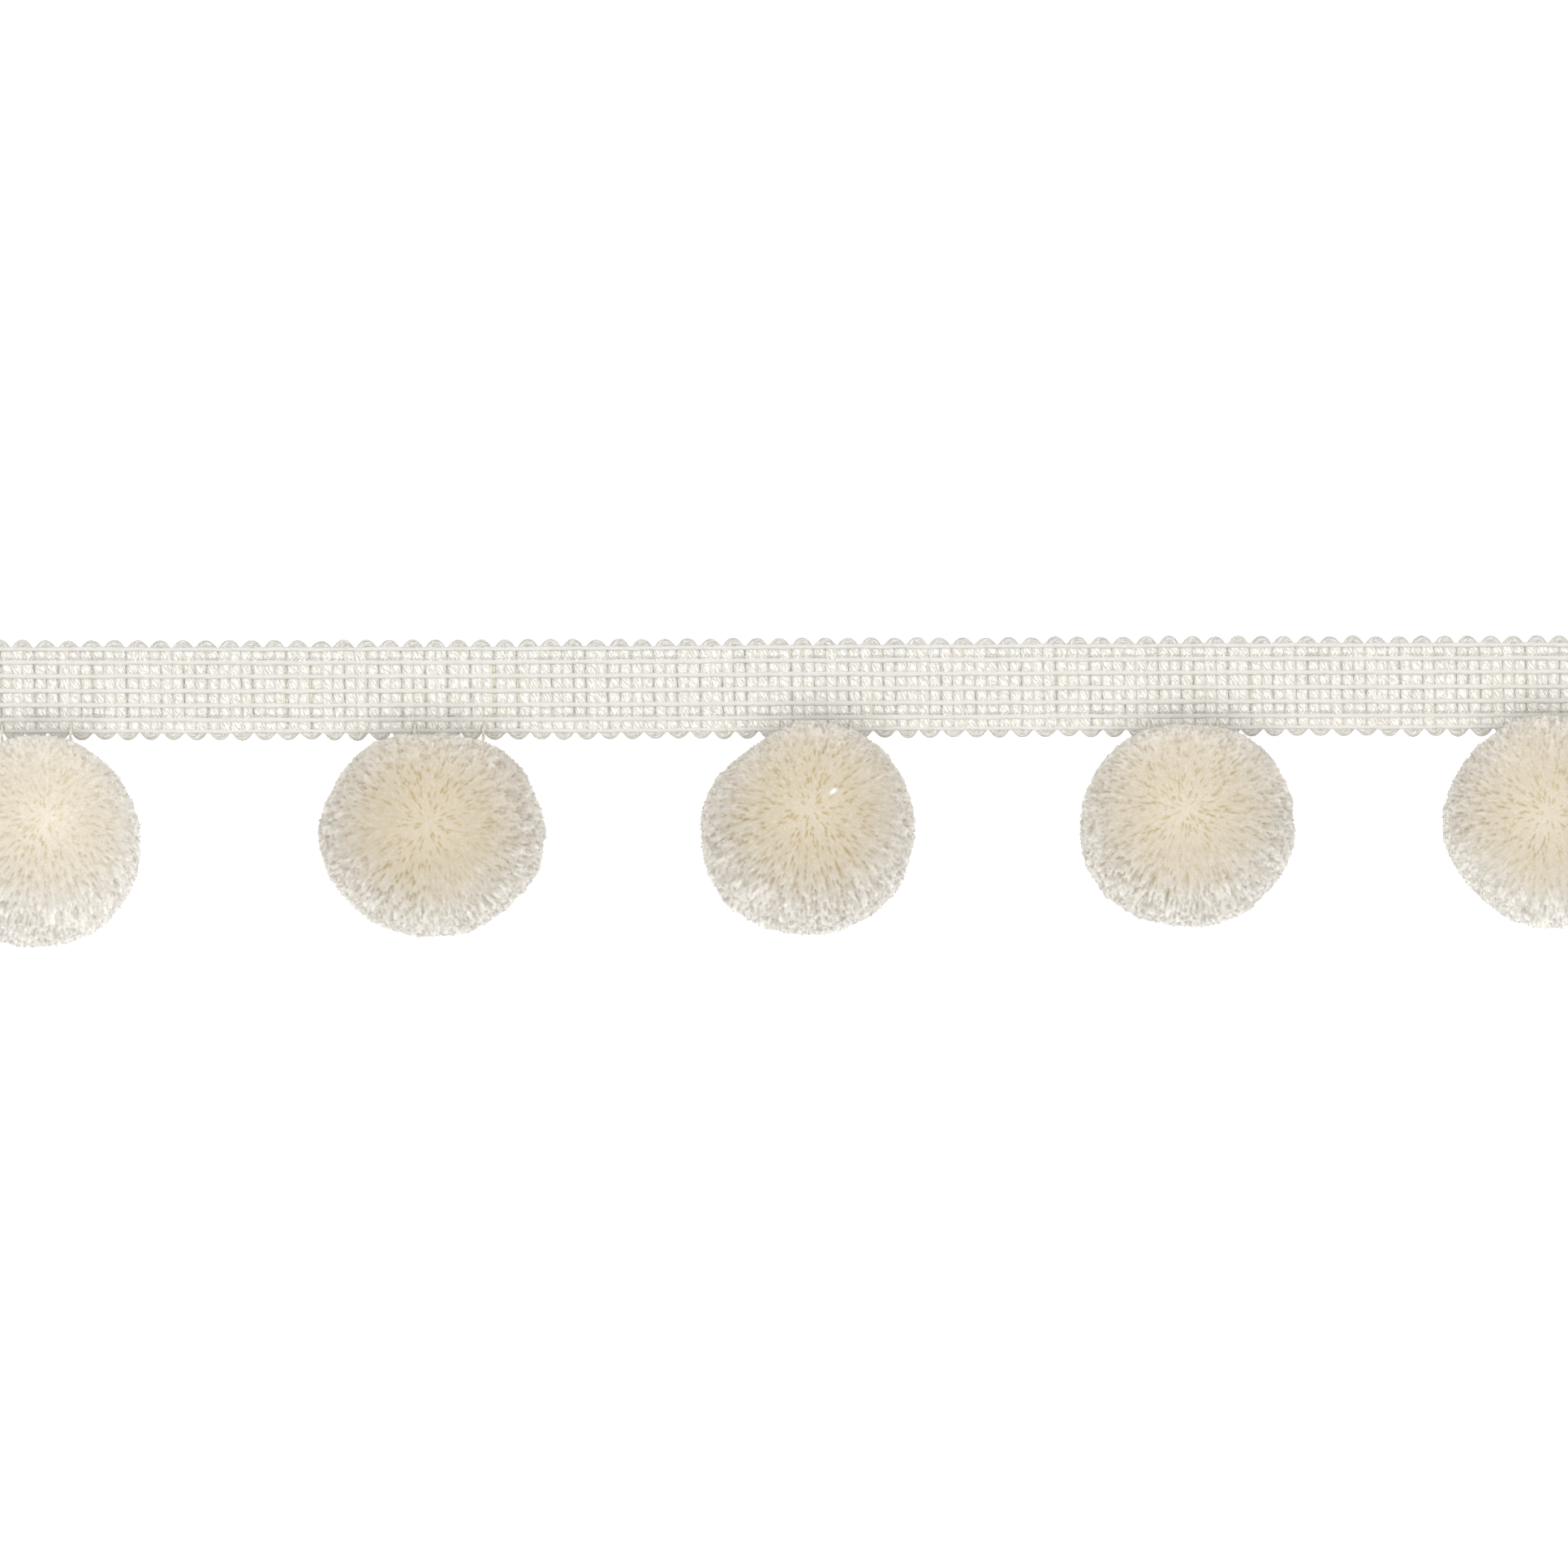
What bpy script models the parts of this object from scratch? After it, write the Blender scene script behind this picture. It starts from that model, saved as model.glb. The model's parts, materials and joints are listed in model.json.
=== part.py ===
"""Pompom fringe trim: a straight cut length of woven heading tape with scalloped
edges, and cut pile pompoms bound to its lower edge with thread.

The trim lies face up on a flat surface. +X runs along the heading, +Y points
across it away from the pompoms, +Z points up through the face. The origin is on
the heading's back, in the middle of its length and width.
"""

import math
import random

import bmesh
import bpy
import numpy as np
from mathutils import Euler, Vector

MM = 0.001
TINY = 1e-7

# Heading tape: a woven band with a picot scallop for every two weft passes
SCALLOPS = 82
SCALLOP_PITCH = 2.83 * MM
EDGE = 5.15 * MM
LOWER_EDGE_SHIFT = -1.13 * MM
CUT_SLANT = 0.29 * MM
HALF_LENGTH = SCALLOPS * SCALLOP_PITCH / 2

# Rows of weft beads stand up between the lengthwise warp bands
TOP_PROFILE = (
    # (across_mm, height_mm)
    (5.15, 1.10),
    (4.30, 1.50),
    (3.50, 1.15),
    (2.60, 1.50),
    (1.74, 1.15),
    (0.85, 1.50),
    (0.00, 1.15),
    (-0.85, 1.50),
    (-1.74, 1.15),
    (-2.60, 1.50),
    (-3.50, 1.15),
    (-4.30, 1.50),
    (-5.15, 1.10),
)

# Each scallop is two rings stepped out from the edge wall
SCALLOP_RINGS = (
    # (out_mm, half_width_mm, low_mm, high_mm)
    (0.62, 1.16, 0.12, 1.10),
    (1.08, 0.56, 0.32, 0.92),
)

# The heading lies very nearly straight
HEADING_SWAY = (
    # (along_mm, sway_mm)
    (-117.0, -0.25),
    (-60.0, -0.28),
    (-20.0, -0.15),
    (0.0, 0.00),
    (50.0, 0.20),
    (117.0, 0.35),
)

# Pompoms: the reach of the cut pile from the middle, round the plan outline
COMPASS = ("E", "NE", "N", "NW", "W", "SW", "S", "SE")
POMPOM_COLUMNS = ("name", "x", "y") + COMPASS + ("core_x", "core_y", "tie_x", "turn_deg")
POMPOMS = (
    ("1", -92.7, -18.50, 13.20, 12.90, 13.10, 13.00, 13.10, 13.20, 13.20, 13.50, 1.4, 2.8, -0.8, 11),
    ("2", -43.8, -18.20, 13.65, 13.45, 12.30, 13.30, 13.55, 12.75, 12.25, 12.55, -0.7, 1.5, 0.6, 47),
    ("3", 2.1, -17.10, 12.85, 13.05, 12.85, 12.20, 13.05, 13.45, 12.75, 12.85, 0.4, 2.2, 1.6, 83),
    ("4", 48.3, -16.80, 12.95, 13.05, 12.25, 12.85, 13.15, 12.85, 12.15, 12.35, 0.0, 2.0, 0.0, 119),
    ("5", 92.7, -16.05, 12.95, 12.85, 13.00, 12.75, 13.25, 12.55, 13.15, 13.00, 0.2, 0.5, 0.0, 155),
)
HALF_DEPTH = 11.8 * MM
MIDDLE_HEIGHT = 11.3 * MM

# Locks of pile: four-sided, fused to a core at their roots
ROOT_SHARE = 0.76
LOCK_PARTING = 0.24 * MM
SHOULDER_SHARE = 0.97
POINT_SHARE = 1.016
LENGTH_JITTER = 0.012
DIRECTION_JITTER = 0.06

# Binding threads: out of the heading, over its lower edge, round the pompom's core
# and back, and so into the heading again three scallops along
THREAD_RADIUS = 0.25 * MM
THREAD_SIDES_SETTING = 2
THREAD_EASE = 0.3 * MM
TIE_SCALLOPS = 3
STITCH_ACROSS = -4.35 * MM
STITCH_BOTTOM = 0.85 * MM
STITCH_TOP = 1.55 * MM
BEND_TOP = 2.40 * MM
BEND_OUT = (-5.70 * MM, 2.30 * MM)
LEG_AIM = (-8.60 * MM, 2.15 * MM)
WAIST_RADIUS = 1.2 * MM
WAIST_DROP = 1.2 * MM
BEND_STEPS = 4
LEG_STEPS = 8
WAIST_STEPS = 6


def clear_scene():
    """Remove whatever objects the file starts with."""
    for obj in list(bpy.data.objects):
        bpy.data.objects.remove(obj, do_unlink=True)


def make_collection(name):
    collection = bpy.data.collections.new(name)
    bpy.context.scene.collection.children.link(collection)
    return collection


def make_material(name, colour, roughness):
    """A plain cloth finish: colour and roughness on a Principled BSDF."""
    material = bpy.data.materials.new(name)
    material.use_nodes = True
    shader = material.node_tree.nodes["Principled BSDF"]
    shader.inputs["Base Color"].default_value = (*colour, 1.0)
    shader.inputs["Roughness"].default_value = roughness
    shader.inputs["Metallic"].default_value = 0.0
    return material


def object_from_bmesh(bm, name, collection, material, sharp_angle):
    """Finish a bmesh as a named object, shaded smooth but for its sharp edges."""
    bmesh.ops.recalc_face_normals(bm, faces=bm.faces)
    mesh = bpy.data.meshes.new(name)
    bm.to_mesh(mesh)
    bm.free()
    mesh.shade_smooth()
    mesh.set_sharp_from_angle(angle=sharp_angle)
    mesh.materials.append(material)
    obj = bpy.data.objects.new(name, mesh)
    collection.objects.link(obj)
    return obj


def heading_sway(x):
    """How far the heading wanders across at this place along it."""
    along = [row[0] * MM for row in HEADING_SWAY]
    sway = [row[1] * MM for row in HEADING_SWAY]
    return float(np.interp(x, along, sway))


def section_shift(section, y):
    """Lower scallops sit part of a pitch along from the upper ones."""
    at_cut = section in (0, SCALLOPS)
    shift = CUT_SLANT if at_cut else LOWER_EDGE_SHIFT
    return shift * (EDGE - y) / (2 * EDGE)


def scallop_crest(interval, side):
    """The place along the heading of one scallop's crest."""
    crest = (interval + 0.5) * SCALLOP_PITCH - HALF_LENGTH
    return crest if side > 0 else crest + LOWER_EDGE_SHIFT


def raise_scallop(bm, wall, interval, side):
    """Step one edge wall outward into a rounded picot scallop."""
    middle = sum(vert.co.x for vert in wall.verts) / len(wall.verts)
    crest = scallop_crest(interval, side)
    for out, half_width, low, high in SCALLOP_RINGS:
        wall = bmesh.ops.extrude_discrete_faces(bm, faces=[wall])["faces"][0]
        half_height = sum(vert.co.z for vert in wall.verts) / len(wall.verts)
        for vert in wall.verts:
            direction = 1 if vert.co.x > middle else -1
            x = crest + direction * half_width * MM
            vert.co.x = min(max(x, -HALF_LENGTH), HALF_LENGTH)
            vert.co.y = side * (EDGE + out * MM)
            vert.co.z = (high if vert.co.z > half_height else low) * MM
        middle = sum(vert.co.x for vert in wall.verts) / len(wall.verts)


def make_heading(collection, material):
    """Sweep the ribbed section along the heading, one scallop at a time."""
    bm = bmesh.new()
    section = [(y * MM, z * MM) for y, z in TOP_PROFILE] + [(-EDGE, 0.0), (EDGE, 0.0)]
    cut_end = bm.faces.new([bm.verts.new((-HALF_LENGTH, y, z)) for y, z in section])
    outline = list(cut_end.edges)
    for _ in range(SCALLOPS):
        grown = bmesh.ops.extrude_edge_only(bm, edges=outline)["geom"]
        outline = [item for item in grown if isinstance(item, bmesh.types.BMEdge)]
        outline = [edge for edge in outline if edge.is_boundary]
        corners = {vert for edge in outline for vert in edge.verts}
        bmesh.ops.translate(bm, vec=(SCALLOP_PITCH, 0, 0), verts=list(corners))
    bmesh.ops.contextual_create(bm, geom=outline)
    bm.normal_update()

    walls = {}
    for wall in bm.faces:
        centre = wall.calc_center_median()
        if abs(centre.y) > EDGE - TINY:
            interval = int((centre.x + HALF_LENGTH) / SCALLOP_PITCH)
            walls[interval, 1 if centre.y > 0 else -1] = wall
    for vert in bm.verts:
        number = round((vert.co.x + HALF_LENGTH) / SCALLOP_PITCH)
        vert.co.x += section_shift(number, vert.co.y)
    for (interval, side), wall in walls.items():
        raise_scallop(bm, wall, interval, side)
    for vert in bm.verts:
        vert.co.y += heading_sway(vert.co.x)
    return object_from_bmesh(bm, "heading", collection, material, math.radians(50))


def plan_reach(pompom, angle):
    """The pile's reach in plan, eased between the eight compass reaches."""
    place = (angle / (2 * math.pi) * len(COMPASS)) % len(COMPASS)
    first = int(place)
    share = (1 - math.cos(math.pi * (place - first))) / 2
    near = pompom[COMPASS[first % len(COMPASS)]]
    far = pompom[COMPASS[(first + 1) % len(COMPASS)]]
    return (near + (far - near) * share) * MM


def pile_reach(pompom, direction):
    """The pile's reach in any direction: the plan outline made into a ball."""
    flat = math.hypot(direction.x, direction.y)
    wide = plan_reach(pompom, math.atan2(direction.y, direction.x))
    return 1 / math.hypot(flat / wide, direction.z / HALF_DEPTH)


def pompom_middle(pompom):
    return Vector((pompom["x"] * MM, pompom["y"] * MM, MIDDLE_HEIGHT))


def pompom_core(pompom):
    """The bound point that the pile radiates from."""
    return pompom_middle(pompom) + Vector((pompom["core_x"] * MM, pompom["core_y"] * MM, 0))


def pile_point(pompom, through, share):
    """The point at this share of a lock's length, on its line out from the core.

    A point under the surface that the trim lies on is drawn back along the line.
    """
    core = pompom_core(pompom)
    middle = pompom_middle(pompom)
    line = (through - core).normalized()
    near, far = 0.0, 4 * HALF_DEPTH
    for _ in range(30):
        length = (near + far) / 2
        offset = core + line * length - middle
        inside = offset.length < pile_reach(pompom, offset.normalized())
        near, far = (length, far) if inside else (near, length)
    point = core + line * (near * share)
    if point.z < 0:
        point = core + line * (core.z / -line.z)
        point.z = 0.0
    return point


def make_cage(pompom):
    """A ball of sixty four-sided cells, from an icosphere's triangles."""
    bpy.ops.mesh.primitive_ico_sphere_add(subdivisions=1, radius=HALF_DEPTH)
    ball = bpy.context.object
    ball.rotation_euler = Euler((0.3, 0.2, math.radians(pompom["turn_deg"])))
    rounding = ball.modifiers.new("cells", "SUBSURF")
    rounding.levels = 1
    rounding.render_levels = 1
    bpy.context.view_layer.update()
    shape = ball.evaluated_get(bpy.context.evaluated_depsgraph_get())
    mesh = bpy.data.meshes.new_from_object(shape)
    mesh.transform(ball.matrix_world)
    bpy.data.objects.remove(ball, do_unlink=True)
    bm = bmesh.new()
    bm.from_mesh(mesh)
    bpy.data.meshes.remove(mesh)
    return bm


def make_pompom(pompom, collection, material):
    """Sixty blunt locks of pile, standing apart but for their fused roots."""
    chance = random.Random(pompom["turn_deg"])
    core = pompom_core(pompom)
    bm = make_cage(pompom)
    for vert in bm.verts:
        drift = Vector(chance.uniform(-1, 1) for _ in range(3)) * DIRECTION_JITTER
        through = core + (vert.co.normalized() + drift)
        vert.co = pile_point(pompom, through, ROOT_SHARE)

    locks = list(bm.faces)
    bmesh.ops.inset_individual(bm, faces=locks, thickness=LOCK_PARTING, use_even_offset=True)
    for root in locks:
        length = 1 + chance.uniform(-LENGTH_JITTER, LENGTH_JITTER)
        tip = bmesh.ops.extrude_discrete_faces(bm, faces=[root])["faces"][0]
        for vert in tip.verts:
            vert.co = pile_point(pompom, vert.co, SHOULDER_SHARE * length)
        poked = bmesh.ops.poke(bm, faces=[tip])
        point = poked["verts"][0]
        point.co = pile_point(pompom, point.co, POINT_SHARE * length)
    name = "pompom_" + pompom["name"]
    return object_from_bmesh(bm, name, collection, material, math.radians(40))


def bow(start, aim, end, steps):
    """Points on a curve that leaves start towards aim and arrives at end from it."""
    for step in range(steps + 1):
        share = step / steps
        yield start.lerp(aim, share).lerp(aim.lerp(end, share), share)


def tie_route(pompom, deeper):
    """The thread's line, its two ends set deeper into the heading by that much."""
    wanted = (pompom["x"] + pompom["tie_x"]) * MM
    number = round((wanted - scallop_crest(0, -1)) / SCALLOP_PITCH)
    along = scallop_crest(number, -1)
    sway = heading_sway(along)
    waist = pompom_core(pompom) - Vector((0, 0, WAIST_DROP))

    def leg(side):
        x = along + side * TIE_SCALLOPS * SCALLOP_PITCH / 2
        across = STITCH_ACROSS + sway
        top = Vector((x, across, STITCH_TOP))
        over = Vector((x, across, BEND_TOP))
        out = Vector((x, BEND_OUT[0] + sway, BEND_OUT[1]))
        aim = Vector((x, LEG_AIM[0] + sway, LEG_AIM[1]))
        end = waist + Vector((side * WAIST_RADIUS, 0, 0))
        bottom = Vector((x, across, STITCH_BOTTOM - deeper))
        bend = list(bow(top, over, out, BEND_STEPS))
        return [bottom] + bend[:-1] + list(bow(out, aim, end, LEG_STEPS))

    inward = (waist - Vector((waist.x, LEG_AIM[0] + sway, LEG_AIM[1]))).normalized()
    turn = []
    for step in range(1, WAIST_STEPS):
        angle = math.pi * step / WAIST_STEPS
        sideways = Vector((-math.cos(angle), 0, 0))
        turn.append(waist + (sideways + inward * math.sin(angle)) * WAIST_RADIUS)
    return leg(-1) + turn + list(reversed(leg(1)))


def make_thread(name, points, radius, collection, material):
    """A round thread along a line of points, as a closed mesh."""
    curve = bpy.data.curves.new(name, "CURVE")
    curve.dimensions = "3D"
    curve.bevel_depth = radius
    curve.bevel_resolution = THREAD_SIDES_SETTING
    curve.use_fill_caps = True
    spline = curve.splines.new("POLY")
    spline.points.add(len(points) - 1)
    for target, point in zip(spline.points, points):
        target.co = (*point, 1.0)
    guide = bpy.data.objects.new(name + "_line", curve)
    collection.objects.link(guide)
    bpy.context.view_layer.update()
    mesh = bpy.data.meshes.new_from_object(
        guide.evaluated_get(bpy.context.evaluated_depsgraph_get())
    )
    matrix = guide.matrix_world.copy()
    bpy.data.objects.remove(guide, do_unlink=True)
    bm = bmesh.new()
    bm.from_mesh(mesh)
    bpy.data.meshes.remove(mesh)
    bmesh.ops.remove_doubles(bm, verts=bm.verts, dist=0.00001)
    thread = object_from_bmesh(bm, name, collection, material, math.radians(50))
    thread.matrix_world = matrix
    return thread


def cut_way(obj, cutter):
    """Cut the thread's way into an object."""
    cut = obj.modifiers.new(cutter.name, "BOOLEAN")
    cut.operation = "DIFFERENCE"
    cut.solver = "EXACT"
    cut.object = cutter


def main():
    clear_scene()
    trim = make_collection("pompom_fringe_trim")
    cutters = make_collection("cutters")
    weave = make_material("heading weave", (0.80, 0.775, 0.72), 0.55)
    pile = make_material("pompom pile", (0.72, 0.65, 0.55), 0.70)
    thread = make_material("binding thread", (0.74, 0.70, 0.62), 0.55)

    heading = make_heading(trim, weave)
    for row in POMPOMS:
        pompom = dict(zip(POMPOM_COLUMNS, row))
        number = pompom["name"]
        ball = make_pompom(pompom, trim, pile)
        make_thread("tie_" + number, tie_route(pompom, 0), THREAD_RADIUS, trim, thread)
        way = make_thread(
            "thread_way_" + number,
            tie_route(pompom, THREAD_EASE),
            THREAD_RADIUS + THREAD_EASE,
            cutters,
            thread,
        )
        way.hide_render = True
        way.display_type = "WIRE"
        cut_way(ball, way)
        cut_way(heading, way)


main()
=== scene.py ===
"""Looks of a pompom fringe trim: a woven heading of twisted cord held by warp bands,
cut pile pompoms and their binding threads, laid out as a Blender add-on.

Lengths are in metres. +X runs along the heading, +Y across it away from the pompoms,
+Z up through its face. The heading's back lies on the floor, at z = 0.
"""

import json
import math

import bpy
import numpy as np
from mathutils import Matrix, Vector

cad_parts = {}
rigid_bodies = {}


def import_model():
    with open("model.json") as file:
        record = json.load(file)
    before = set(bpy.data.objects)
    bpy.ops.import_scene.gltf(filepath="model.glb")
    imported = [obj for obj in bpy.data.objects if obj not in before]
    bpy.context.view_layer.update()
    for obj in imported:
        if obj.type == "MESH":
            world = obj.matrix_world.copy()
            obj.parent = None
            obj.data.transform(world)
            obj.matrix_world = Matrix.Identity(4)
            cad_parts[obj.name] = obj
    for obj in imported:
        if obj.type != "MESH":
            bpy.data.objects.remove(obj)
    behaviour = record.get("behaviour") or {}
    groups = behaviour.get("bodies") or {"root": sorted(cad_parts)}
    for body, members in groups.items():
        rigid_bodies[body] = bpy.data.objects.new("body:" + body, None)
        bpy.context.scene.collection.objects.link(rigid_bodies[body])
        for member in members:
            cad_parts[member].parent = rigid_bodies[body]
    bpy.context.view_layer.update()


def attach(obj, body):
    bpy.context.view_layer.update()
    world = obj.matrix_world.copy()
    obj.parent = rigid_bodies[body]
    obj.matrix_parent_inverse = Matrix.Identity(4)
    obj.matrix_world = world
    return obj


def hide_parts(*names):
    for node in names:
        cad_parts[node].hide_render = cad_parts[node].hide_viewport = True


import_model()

bl_info = {
    "name": "Pompom Fringe Trim",
    "version": (1, 0, 0),
    "blender": (4, 5, 0),
    "location": "3D View > Sidebar > Fringe",
    "description": "Woven heading, cut pile pompoms and binding threads of a fringe trim",
    "category": "Add Mesh",
}

MM = 0.001
BODY = "root"
BAKE_MAP = "OFBake"
UP = np.array((0.0, 0.0, 1.0))

# Sizes that the heading shares with its solid
SCALLOPS = 82
SCALLOP_PITCH = 2.83 * MM
PASS_PITCH = SCALLOP_PITCH / 2
PASSES = 2 * SCALLOPS
HALF_LENGTH = SCALLOPS * SCALLOP_PITCH / 2
EDGE = 5.15 * MM
PASS_SLANT = 0.29 * MM
LOWER_EDGE_SHIFT = -1.13 * MM
HEADING_SWAY = (
    # (along_mm, sway_mm)
    (-117.0, -0.25),
    (-60.0, -0.28),
    (-20.0, -0.15),
    (0.0, 0.00),
    (50.0, 0.20),
    (117.0, 0.35),
)
# Lengthwise warp bands: place across the heading, width, and a twisted thread beside them
WARP_BANDS = (
    # (name, across_mm, width_mm, has_twist)
    ("edge_upper", 5.05, 0.60, False),
    ("plait_upper", 3.43, 0.74, True),
    ("band_upper", 1.72, 0.70, False),
    ("band_middle", -0.10, 0.70, False),
    ("band_lower", -1.86, 0.70, False),
    ("plait_lower", -3.63, 0.74, True),
    ("edge_lower", -5.05, 0.60, False),
)
TWIST_BESIDE = 0.50 * MM

# The weft's passes take one cell each of a square map, and the warps one row each
MAP_COLUMNS = 13
WARP_ROWS = 10
CORD_STRANDS = 14
# Part of each pass's cell over which the picot's shade comes in, and the heights of the
# yarn's surface between which its tone goes from shade to light
PICOT_SHARES = (0.80, 0.86)
STRAND_LIGHT = (0.12, 0.78)
WAVER_SCALE = 1900.0
CORD_CORNERS = 12
PAIR_SHIFT = 0.02 * MM
# Shares of the way between two bands over which the cord is held down, low and high
HELD_SHARES = (0.10, 0.205)
# How unevenly the passes lie: leaning as a whole, bowed in the middle, reaching out in picots
PASS_LEAN = 0.055 * MM
PASS_BOW = 0.05 * MM
PICOT_UNEVEN = 0.07
PICOT_HALF_WIDTH = 0.52 * MM
PICOT_HALF_HEIGHT = 0.50 * MM
BAND_THICKNESS = 0.07 * MM

# Pompoms: reach of the pile from the middle round the plan outline, and its bound core
COMPASS = ("E", "NE", "N", "NW", "W", "SW", "S", "SE")
POMPOM_COLUMNS = ("name", "x", "y") + COMPASS + ("core_x", "core_y", "tie_x")
POMPOMS = (
    ("1", -92.7, -18.50, 13.20, 12.90, 13.10, 13.00, 13.10, 13.20, 13.20, 13.50, 1.4, 2.8, -0.8),
    ("2", -43.8, -18.20, 13.65, 13.45, 12.30, 13.30, 13.55, 12.75, 12.25, 12.55, -0.7, 1.5, 0.6),
    ("3", 2.1, -17.10, 12.85, 13.05, 12.85, 12.20, 13.05, 13.45, 12.75, 12.85, 0.4, 2.2, 1.6),
    ("4", 48.3, -16.80, 12.95, 13.05, 12.25, 12.85, 13.15, 12.85, 12.15, 12.35, 0.0, 2.0, 0.0),
    ("5", 92.7, -16.05, 12.95, 12.85, 13.00, 12.75, 13.25, 12.55, 13.15, 13.00, 0.2, 0.5, 0.0),
)
# How far each pompom's pile reaches beyond its solid, in millimetres, every 30 degrees
REACH_TRIMS = {
    "1": (-0.4, -0.4, -0.4, -0.3, -0.2, 0.0, 0.0, 0.1, 0.3, 0.4, 0.1, -0.1),
    "2": (0.0, 0.1, 0.1, 0.3, 0.5, 0.6, 0.9, 0.8, 0.4, 0.3, 0.2, 0.3),
    "3": (0.4, 0.2, 0.2, 0.2, -0.3, 0.3, 0.4, 0.5, 0.4, 0.6, 0.7, 0.6),
    "4": (0.9, 0.7, 0.3, 0.1, 0.0, -0.2, -0.3, 0.2, 0.2, 0.6, 1.0, 1.1),
    "5": (0.5, 0.3, 0.1, -0.2, -0.5, -0.7, -0.6, -0.1, 0.2, 0.5, 0.6, 0.6),
}
# Partings that show plainly, and one pale fleck that stands out (depth below 0)
PLAIN_PARTINGS = (
    # (pompom, angle, from_core_mm, half_length_mm, half_width_mm, depth)
    ("1", 60, 6.0, 1.2, 0.20, 1.0),
    ("1", 215, 3.0, 1.3, 0.18, 0.9),
    ("2", 118, 4.2, 1.2, 0.20, 1.0),
    ("2", 100, 6.6, 1.0, 0.18, 1.0),
    ("2", 152, 6.0, 0.9, 0.18, 0.9),
    ("3", 296, 8.4, 1.9, 0.24, 1.0),
    ("3", 312, 7.2, 1.5, 0.22, 1.0),
    ("3", 283, 9.4, 1.6, 0.22, 0.9),
    ("3", 56, 7.4, 0.8, 0.20, 1.0),
    ("3", 40, 3.8, 0.7, 0.34, -1.0),
    ("4", 245, 9.8, 1.8, 0.26, 1.0),
    ("4", 258, 11.0, 1.8, 0.26, 1.0),
    ("4", 231, 10.2, 1.5, 0.22, 0.9),
    ("4", 272, 9.0, 1.4, 0.20, 0.8),
    ("5", 110, 5.0, 1.2, 0.20, 0.9),
    ("5", 160, 4.0, 1.0, 0.18, 0.9),
)
# How much paler or darker than the middle tone each pompom's pile is
PILE_TINTS = {"1": 0.07, "2": -0.19, "3": -0.17, "4": -0.09, "5": -0.09}
PALE_PILE = (0.88, 0.865, 0.82)
FIBRE_SIDE = 0.004
FIBRE_SPREAD = 1.8
POLE_DRAW = 0.25
# Where the pile's painted sheen starts to pale its tone round the sides, how far, and how much more it
# pales by painted light on the side towards -Y
PAINTED_SHEEN_FROM = 0.985
PAINTED_SHEEN_RISE = 0.22
PAINTED_LIGHT_BELOW = 0.08
# The tone of face pile on its ramp, how far painted shade takes it down in a parting, and how far
# painted sheen takes a fibre's tip up
FACE_PLACE = 0.50
PARTING_PAINTED_SHADE = 0.48
TIP_PAINTED_SHEEN = 0.14
# How much shallower the fine partings are round the loose sides
PARTING_FADE = 0.62
# How far a fibre's tip strays, how deep it is rooted, and how low it may start
FIBRE_STRAY = 0.11 * MM
FIBRE_ROOT = 0.5 * MM
ROOT_HEIGHT = 0.7 * MM
FLOOR_GAP = 0.02 * MM
# Tufts, single strands and wide lumps of the pile: how many round the ball, how long each
PILE_GRIDS = ((110, 3.0), (270, 6.5), (44, 1.3))
HALF_DEPTH = 11.8 * MM
MIDDLE_HEIGHT = 11.3 * MM

# Binding threads follow the same line as their solids
TIE_SCALLOPS = 3
STITCH_ACROSS = -4.35 * MM
STITCH_BOTTOM = 0.85 * MM
STITCH_TOP = 1.55 * MM
BEND_TOP = 2.40 * MM
BEND_OUT = (-5.70 * MM, 2.30 * MM)
LEG_AIM = (-8.60 * MM, 2.15 * MM)
WAIST_RADIUS = 1.2 * MM
WAIST_DROP = 1.2 * MM
# The fill light's power beside the key's
FILL_SHARE = 0.38


# Shared sums

def heading_sway(x):
    """How far the heading wanders across at these places along it."""
    along = [row[0] * MM for row in HEADING_SWAY]
    sway = [row[1] * MM for row in HEADING_SWAY]
    return np.interp(x, along, sway)


def smooth_noise(places, spacing, seed):
    """Even random wandering between -1 and 1 along a line of places."""
    random = np.random.default_rng(seed)
    low = places.min() - spacing
    knots = np.arange(low, places.max() + 2 * spacing, spacing)
    return np.interp(places, knots, random.uniform(-1, 1, len(knots)))


def unit(vectors):
    return vectors / np.maximum(np.linalg.norm(vectors, axis=-1, keepdims=True), 1e-12)


def carried_sides(points):
    """Sideways directions along a line, carried from point to point without twist."""
    tangents = unit(np.gradient(points, axis=0))
    first = np.cross(tangents[0], UP)
    if np.linalg.norm(first) < 0.1:
        first = np.cross(tangents[0], np.array((0.0, 1.0, 0.0)))
    sides = [unit(first)]
    for tangent in tangents[1:]:
        side = sides[-1] - tangent * np.dot(sides[-1], tangent)
        sides.append(unit(side))
    sides = np.array(sides)
    return sides, np.cross(sides, tangents)


def resampled(points, step):
    """Evenly spaced points along a line."""
    lengths = np.linalg.norm(np.diff(points, axis=0), axis=1)
    at = np.concatenate(([0.0], np.cumsum(lengths)))
    count = max(2, int(round(at[-1] / step)) + 1)
    wanted = np.linspace(0, at[-1], count)
    return np.stack([np.interp(wanted, at, points[:, k]) for k in range(3)], axis=1)


# Shared mesh making

def mesh_object(name, vertices, faces, corner_map, material, aims=None):
    """A smooth mesh object from arrays, with the map that its colour, painted light included, is read
    by.

    aims draws each vertex's shading towards a direction, the more the longer it is.
    """
    mesh = bpy.data.meshes.new(name)
    mesh.from_pydata(vertices.tolist(), [], faces)
    mesh.materials.append(material)
    layer = mesh.uv_layers.new(name=BAKE_MAP)
    layer.uv.foreach_set("vector", np.asarray(corner_map, dtype=np.float32).ravel())
    mesh.shade_smooth()
    mesh.update()
    if aims is not None:
        own = np.empty(len(vertices) * 3)
        mesh.vertices.foreach_get("normal", own)
        mesh.normals_split_custom_set_from_vertices(unit(own.reshape(-1, 3) + aims).tolist())
    obj = bpy.data.objects.new(name, mesh)
    bpy.context.scene.collection.objects.link(obj)
    return obj


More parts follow.
